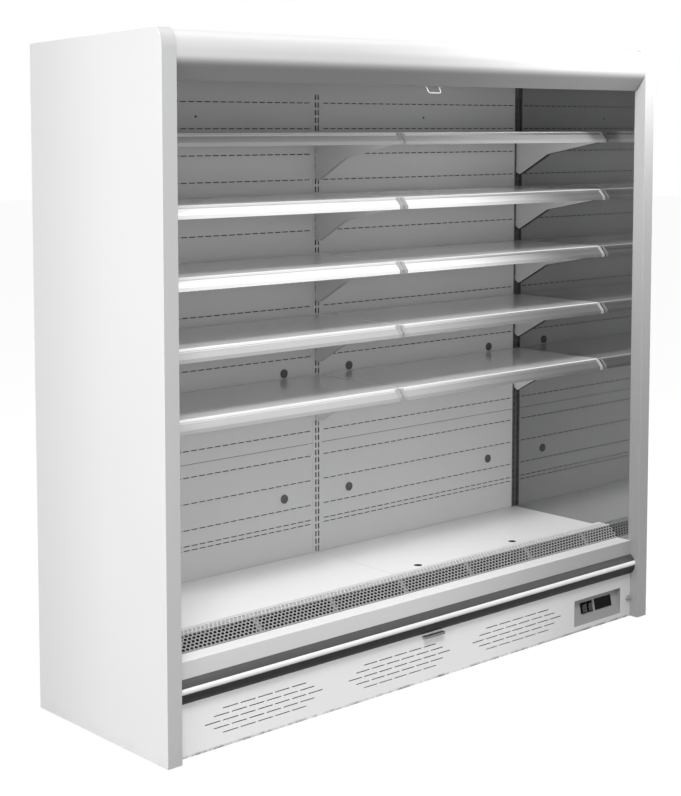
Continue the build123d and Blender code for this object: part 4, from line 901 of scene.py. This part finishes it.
# night blind: pull bar, and the cloth between it and the roller
blind = {
    "half": 0.988, "clothHalf": 0.985, "clothDepth": 0.0473, "clothTop": 1.935, "cloth": 0.0008,
    "barDepth": 0.010, "barHeight": 0.012, "chamfer": 0.0025, "clearance": 0.001, "lip": 1.862,
    "edge": 0.0008, "tuck": 0.001, "clothSteps": 12,
}


def buildBlind():
    b = blind
    low = b["lip"] + b["clearance"]
    top = low + b["barHeight"]
    front = b["clothDepth"] + b["cloth"] / 2 - b["barDepth"] / 2
    rear = front + b["barDepth"]
    outline = [(front + b["chamfer"], low), (rear - b["chamfer"], low), (rear, low + b["chamfer"]),
               (rear, top), (front, top), (front, low + b["chamfer"])]
    bar = closedBar("blindBar", outline, (-b["half"], b["half"]))
    roundEdges(bar, b["edge"])
    smooth(bar)
    finishPiece(bar, finishes["blind_bar_metal"], "blind_bar", ("blind_bar",))
    clothLow = top - b["tuck"]
    drop = [(b["clothDepth"], b["clothTop"] + (clothLow - b["clothTop"]) * step / b["clothSteps"])
            for step in range(b["clothSteps"] + 1)]
    cloth = foldSheet("blindCloth", drop, (-b["clothHalf"], b["clothHalf"]), b["cloth"])
    smooth(cloth)
    cloth.data.materials.append(finishes["blind_fabric"])
    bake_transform(cloth)


buildBlind()
print("blind made")

# return-air grille: perforated sheet with support ribs close behind it
grille = {
    "foot": (0.093, 0.2775), "bend": (0.130, 0.316), "rear": 0.1785, "wall": 0.0015,
    "pitch": 0.015, "rowPitch": 0.0098, "holeHalf": (0.0056, 0.0043),
    "faceRows": 5, "flatRows": 3, "flatStart": 0.00245, "hook": 0.0255, "lipDrop": 0.0015,
    "weld": 2e-5, "rowWeld": 1e-5, "smoothAngle": 30, "holeWall": 0.3, "border": 0.002,
    "ribs": [-0.940, -0.643, -0.346, -0.050, 0.249, 0.542, 0.837], "ribWidth": 0.016, "ribSheet": 0.0012,
    "ribFold": 0.002, "ribDrop": 0.0036, "ribFoot": (0.004, -0.001), "ribBend": 0.0006, "ribShort": 0.004,
}


def piercedRow(lag):
    # one row of oval holes, flat, centred on the origin
    g = grille
    deselect()
    bpy.ops.mesh.primitive_grid_add(x_subdivisions=2, y_subdivisions=2, size=1)
    row = bpy.context.object
    row.scale = (g["pitch"], g["rowPitch"], 1)
    settle(row)
    pick(row, lambda co: co.length < modelling["nearly"])
    editing(row, lambda: bpy.ops.mesh.delete(type="VERT"), selectAll,
            lambda: bpy.ops.mesh.extrude_edges_move(TRANSFORM_OT_translate={"value": (0, 0, 0)}),
            lambda: bpy.ops.transform.tosphere(value=1.0))
    inner = [vert for vert in row.data.vertices if vert.select]
    reach = max(vert.co.length for vert in inner)
    stretch = (g["holeHalf"][0] / reach, g["holeHalf"][1] / reach, 1)
    editing(row, lambda: bpy.ops.transform.resize(value=stretch))
    half = halfSpan()
    count = int(2 * half / g["pitch"]) + 3      # one more than fits at each end, cut off below
    array = row.modifiers.new("holes", "ARRAY")
    array.count = count
    array.use_merge_vertices = True
    array.merge_threshold = g["rowWeld"]
    applyModifiers(row)
    row.location.x = -(count - 1) * g["pitch"] / 2 + lag
    settle(row)
    for edge, clearOuter in ((-half, False), (half, True)):
        editing(row, selectAll, lambda: bpy.ops.mesh.bisect(
            plane_co=(edge, 0, 0), plane_no=(1, 0, 0), clear_inner=not clearOuter, clear_outer=clearOuter))
    return row


def plainStrip(low, high):
    deselect()
    bpy.ops.mesh.primitive_plane_add(size=1, location=(0, (low + high) / 2, 0))
    strip = bpy.context.object
    strip.scale = (2 * halfSpan(), high - low, 1)
    settle(strip)
    return strip


def piercedSheet(start, rows, length, lagFirst):
    # rows of holes from start, with plain sheet to both edges; flat in X and Y
    g = grille
    parts = [plainStrip(0, start), plainStrip(start + rows * g["rowPitch"], length)]
    for index in range(rows):
        lag = g["pitch"] / 2 if (index + lagFirst) % 2 else 0
        row = piercedRow(lag)
        row.location.y = start + (index + 0.5) * g["rowPitch"]
        settle(row)
        parts.append(row)
    return joined("grillePart", parts)


def buildGrille():
    g = grille
    rise = g["bend"][1] - g["foot"][1]
    run = g["bend"][0] - g["foot"][0]
    length = math.hypot(rise, run)
    sloped = piercedSheet((length - g["faceRows"] * g["rowPitch"]) / 2, g["faceRows"], length, 0)
    sloped.rotation_euler.x = math.atan2(rise, run)
    sloped.location = (0, fromFront(g["foot"][0]), g["foot"][1])
    settle(sloped)
    flat = piercedSheet(g["flatStart"], g["flatRows"], g["rear"] - g["bend"][0], g["faceRows"])
    flat.location = (0, fromFront(g["bend"][0]), g["bend"][1])
    settle(flat)
    sheet = joined("returnGrille", [sloped, flat])
    editing(sheet, selectAll, weld(g["weld"]))
    bend = fromFront(g["bend"][0])
    for depth, drop in ((g["rear"], g["hook"]), (g["foot"][0], g["lipDrop"])):
        edge = fromFront(depth)
        pick(sheet, lambda co: abs(co.y - edge) < g["rowWeld"])
        editing(sheet, lambda: bpy.ops.mesh.extrude_edges_move(
            TRANSFORM_OT_translate={"value": (0, 0, -drop)}))
    outwardUp(sheet)
    wall = sheet.modifiers.new("wall", "SOLIDIFY")
    wall.thickness = g["wall"]
    wall.offset = -1
    applyModifiers(sheet)
    smooth(sheet, g["smoothAngle"])
    finishPiece(sheet, finishes["grille_grey"], stands=("return_grille",))
    upright = Vector((0, -rise, run)).normalized()

    def onHoleWall(face):
        # the walls of the holes in the sloped face, which get painted shade
        inside = g["foot"][1] + g["border"] < face.center.z < g["bend"][1] - g["border"]
        return inside and abs(face.normal.dot(upright)) < g["holeWall"] and face.center.y < bend

    # painted light on the grille's flat top
    secondFinish(sheet, finishes["grille_flat"], lambda face: face.center.y > bend)
    # painted shade in the grille's holes
    secondFinish(sheet, finishes["tub_dark"], onHoleWall)


def buildRibs():
    g = grille
    top = g["bend"][1] - g["ribDrop"]
    path = [(g["foot"][0] + g["ribFoot"][0], g["foot"][1] + g["ribFoot"][1]),
            (g["bend"][0] + g["ribBend"], top), (g["rear"] - g["ribShort"], top)]
    half = g["ribWidth"] / 2
    ribs = [foldSheet("grilleRibs", path, (x - half, x + half), g["ribSheet"], g["ribFold"])
            for x in g["ribs"]]
    finishPiece(joined("grilleRibs", ribs), finishes["rib_grey"], slot="grille_grey")


buildGrille()
buildRibs()
print("grille made")

# stage, light and camera
studio = {
    "ambient": 0.38,        # the white surroundings as a light on the object
    "floorSize": 60,
    "floorTone": 0.90, "floorShade": 0.89,      # what the camera sees of the floor
    "floorGlow": 0.85,      # share of the floor's own light in what the camera sees of it
    "glow": 1.07,           # how bright that light is
    "floorBounce": 0.25,    # what the floor throws back at the object
    "lamps": {
        "leftSoftbox": {"at": (-5.0, -0.9, 1.3), "aim": (-1.05, 0.0, 0.8), "size": (3.0, 2.6), "power": 92},
        "keyLamp": {"at": (-3.2, -3.8, 7.6), "aim": (-0.2, -0.2, 0.9), "size": (3.0, 2.0), "power": 500},
        "frontFill": {"at": (-0.8, -4.6, 1.3), "aim": (-0.1, 0.0, 0.9), "size": (3.0, 2.0), "power": 36},
        "topSoftbox": {"at": (0.2, -1.1, 3.6), "aim": (0.2, -0.2, 0.8), "size": (2.6, 0.9), "power": 13},
        "rightSoftbox": {"at": (5.0, 0.6, 1.5), "aim": (1.05, 0.1, 1.0), "size": (2.0, 2.2), "power": 70},
        "canopySpot": {"at": (2.2, -3.0, 3.2), "aim": (0.9, -0.3, 2.5), "size": (0.6, 0.6), "power": 9,
                       "spread": 30},
    },
}
view = {
    "at": (-3.570, -3.803, 1.738), "yaw": 42.147, "pitch": 4.910,
    "lens": 73.61, "sensor": 36.0, "shiftY": -0.165,
}


def buildStage():
    deselect()
    bpy.ops.mesh.primitive_plane_add(size=studio["floorSize"], location=(0, 0, 0))
    floor = bpy.context.object
    floor.name = "studioFloor"
    finish, tree, shader = startFinish("studioFloor")
    mottle = useGroup(tree, "softMottle", Scale=0.4, Spread=0.3)
    tone, shade, bounce = ((studio[key],) * 3 for key in ("floorTone", "floorShade", "floorBounce"))
    paper = mixColour(tree, mottle.outputs["Mask"], tone, shade)
    fill(shader, Roughness=0.9, Specular_IOR_Level=0.1)
    path = put(tree, "LightPath")
    seen = put(tree, "Math", operation="MAXIMUM")
    glow = put(tree, "Emission", Strength=studio["glow"])
    mix = put(tree, "MixShader")
    share = put(tree, "Math", operation="MULTIPLY")
    share.inputs[1].default_value = studio["floorGlow"]
    wire(tree, path.outputs["Is Camera Ray"], seen.inputs[0])
    wire(tree, path.outputs["Is Glossy Ray"], seen.inputs[1])
    wire(tree, mixColour(tree, seen.outputs[0], bounce, paper), shader.inputs["Base Color"])
    wire(tree, seen.outputs[0], share.inputs[0])
    wire(tree, share.outputs[0], mix.inputs["Fac"])
    wire(tree, shader.outputs["BSDF"], mix.inputs[1])
    wire(tree, glow.outputs["Emission"], mix.inputs[2])
    wire(tree, mix.outputs["Shader"], tree.nodes["Material Output"].inputs["Surface"])
    floor.data.materials.append(finish)


def buildWorld():
    world = bpy.data.worlds.new("studioWorld")
    bpy.context.scene.world = world
    world.use_nodes = True
    tree = world.node_tree
    air = fill(tree.nodes["Background"], Strength=studio["ambient"], Color=(1, 1, 1, 1))
    white = put(tree, "Background", Strength=1.0, Color=(1, 1, 1, 1))
    path = put(tree, "LightPath")
    seen = put(tree, "Math", operation="MAXIMUM")
    seenToo = put(tree, "Math", operation="MAXIMUM")
    mix = put(tree, "MixShader")
    wire(tree, path.outputs["Is Camera Ray"], seen.inputs[0])
    wire(tree, path.outputs["Is Glossy Ray"], seen.inputs[1])
    wire(tree, seen.outputs[0], seenToo.inputs[0])
    wire(tree, path.outputs["Is Transmission Ray"], seenToo.inputs[1])
    wire(tree, seenToo.outputs[0], mix.inputs["Fac"])
    wire(tree, air.outputs["Background"], mix.inputs[1])
    wire(tree, white.outputs["Background"], mix.inputs[2])
    wire(tree, mix.outputs["Shader"], tree.nodes["World Output"].inputs["Surface"])


def buildLamps():
    for name, lamp in studio["lamps"].items():
        data = bpy.data.lights.new(name, "AREA")
        data.shape = "RECTANGLE"
        data.size, data.size_y = lamp["size"]
        data.energy = lamp["power"]
        data.spread = math.radians(lamp.get("spread", 180))
        holder = bpy.data.objects.new(name, data)
        bpy.context.scene.collection.objects.link(holder)
        holder.location = lamp["at"]
        aim = Vector(lamp["aim"]) - Vector(lamp["at"])
        holder.rotation_euler = aim.to_track_quat("-Z", "Y").to_euler()


def buildCamera():
    data = bpy.data.cameras.new("viewCamera")
    data.lens = view["lens"]
    data.sensor_width = view["sensor"]
    data.shift_y = view["shiftY"]
    camera = bpy.data.objects.new("viewCamera", data)
    bpy.context.scene.collection.objects.link(camera)
    camera.location = view["at"]
    camera.rotation_euler = (math.radians(90 - view["pitch"]), 0, math.radians(-view["yaw"]))
    bpy.context.scene.camera = camera


buildStage()
buildWorld()
buildLamps()
buildCamera()
bpy.context.scene.view_settings.view_transform = "Standard"
print("stage, light and camera set")
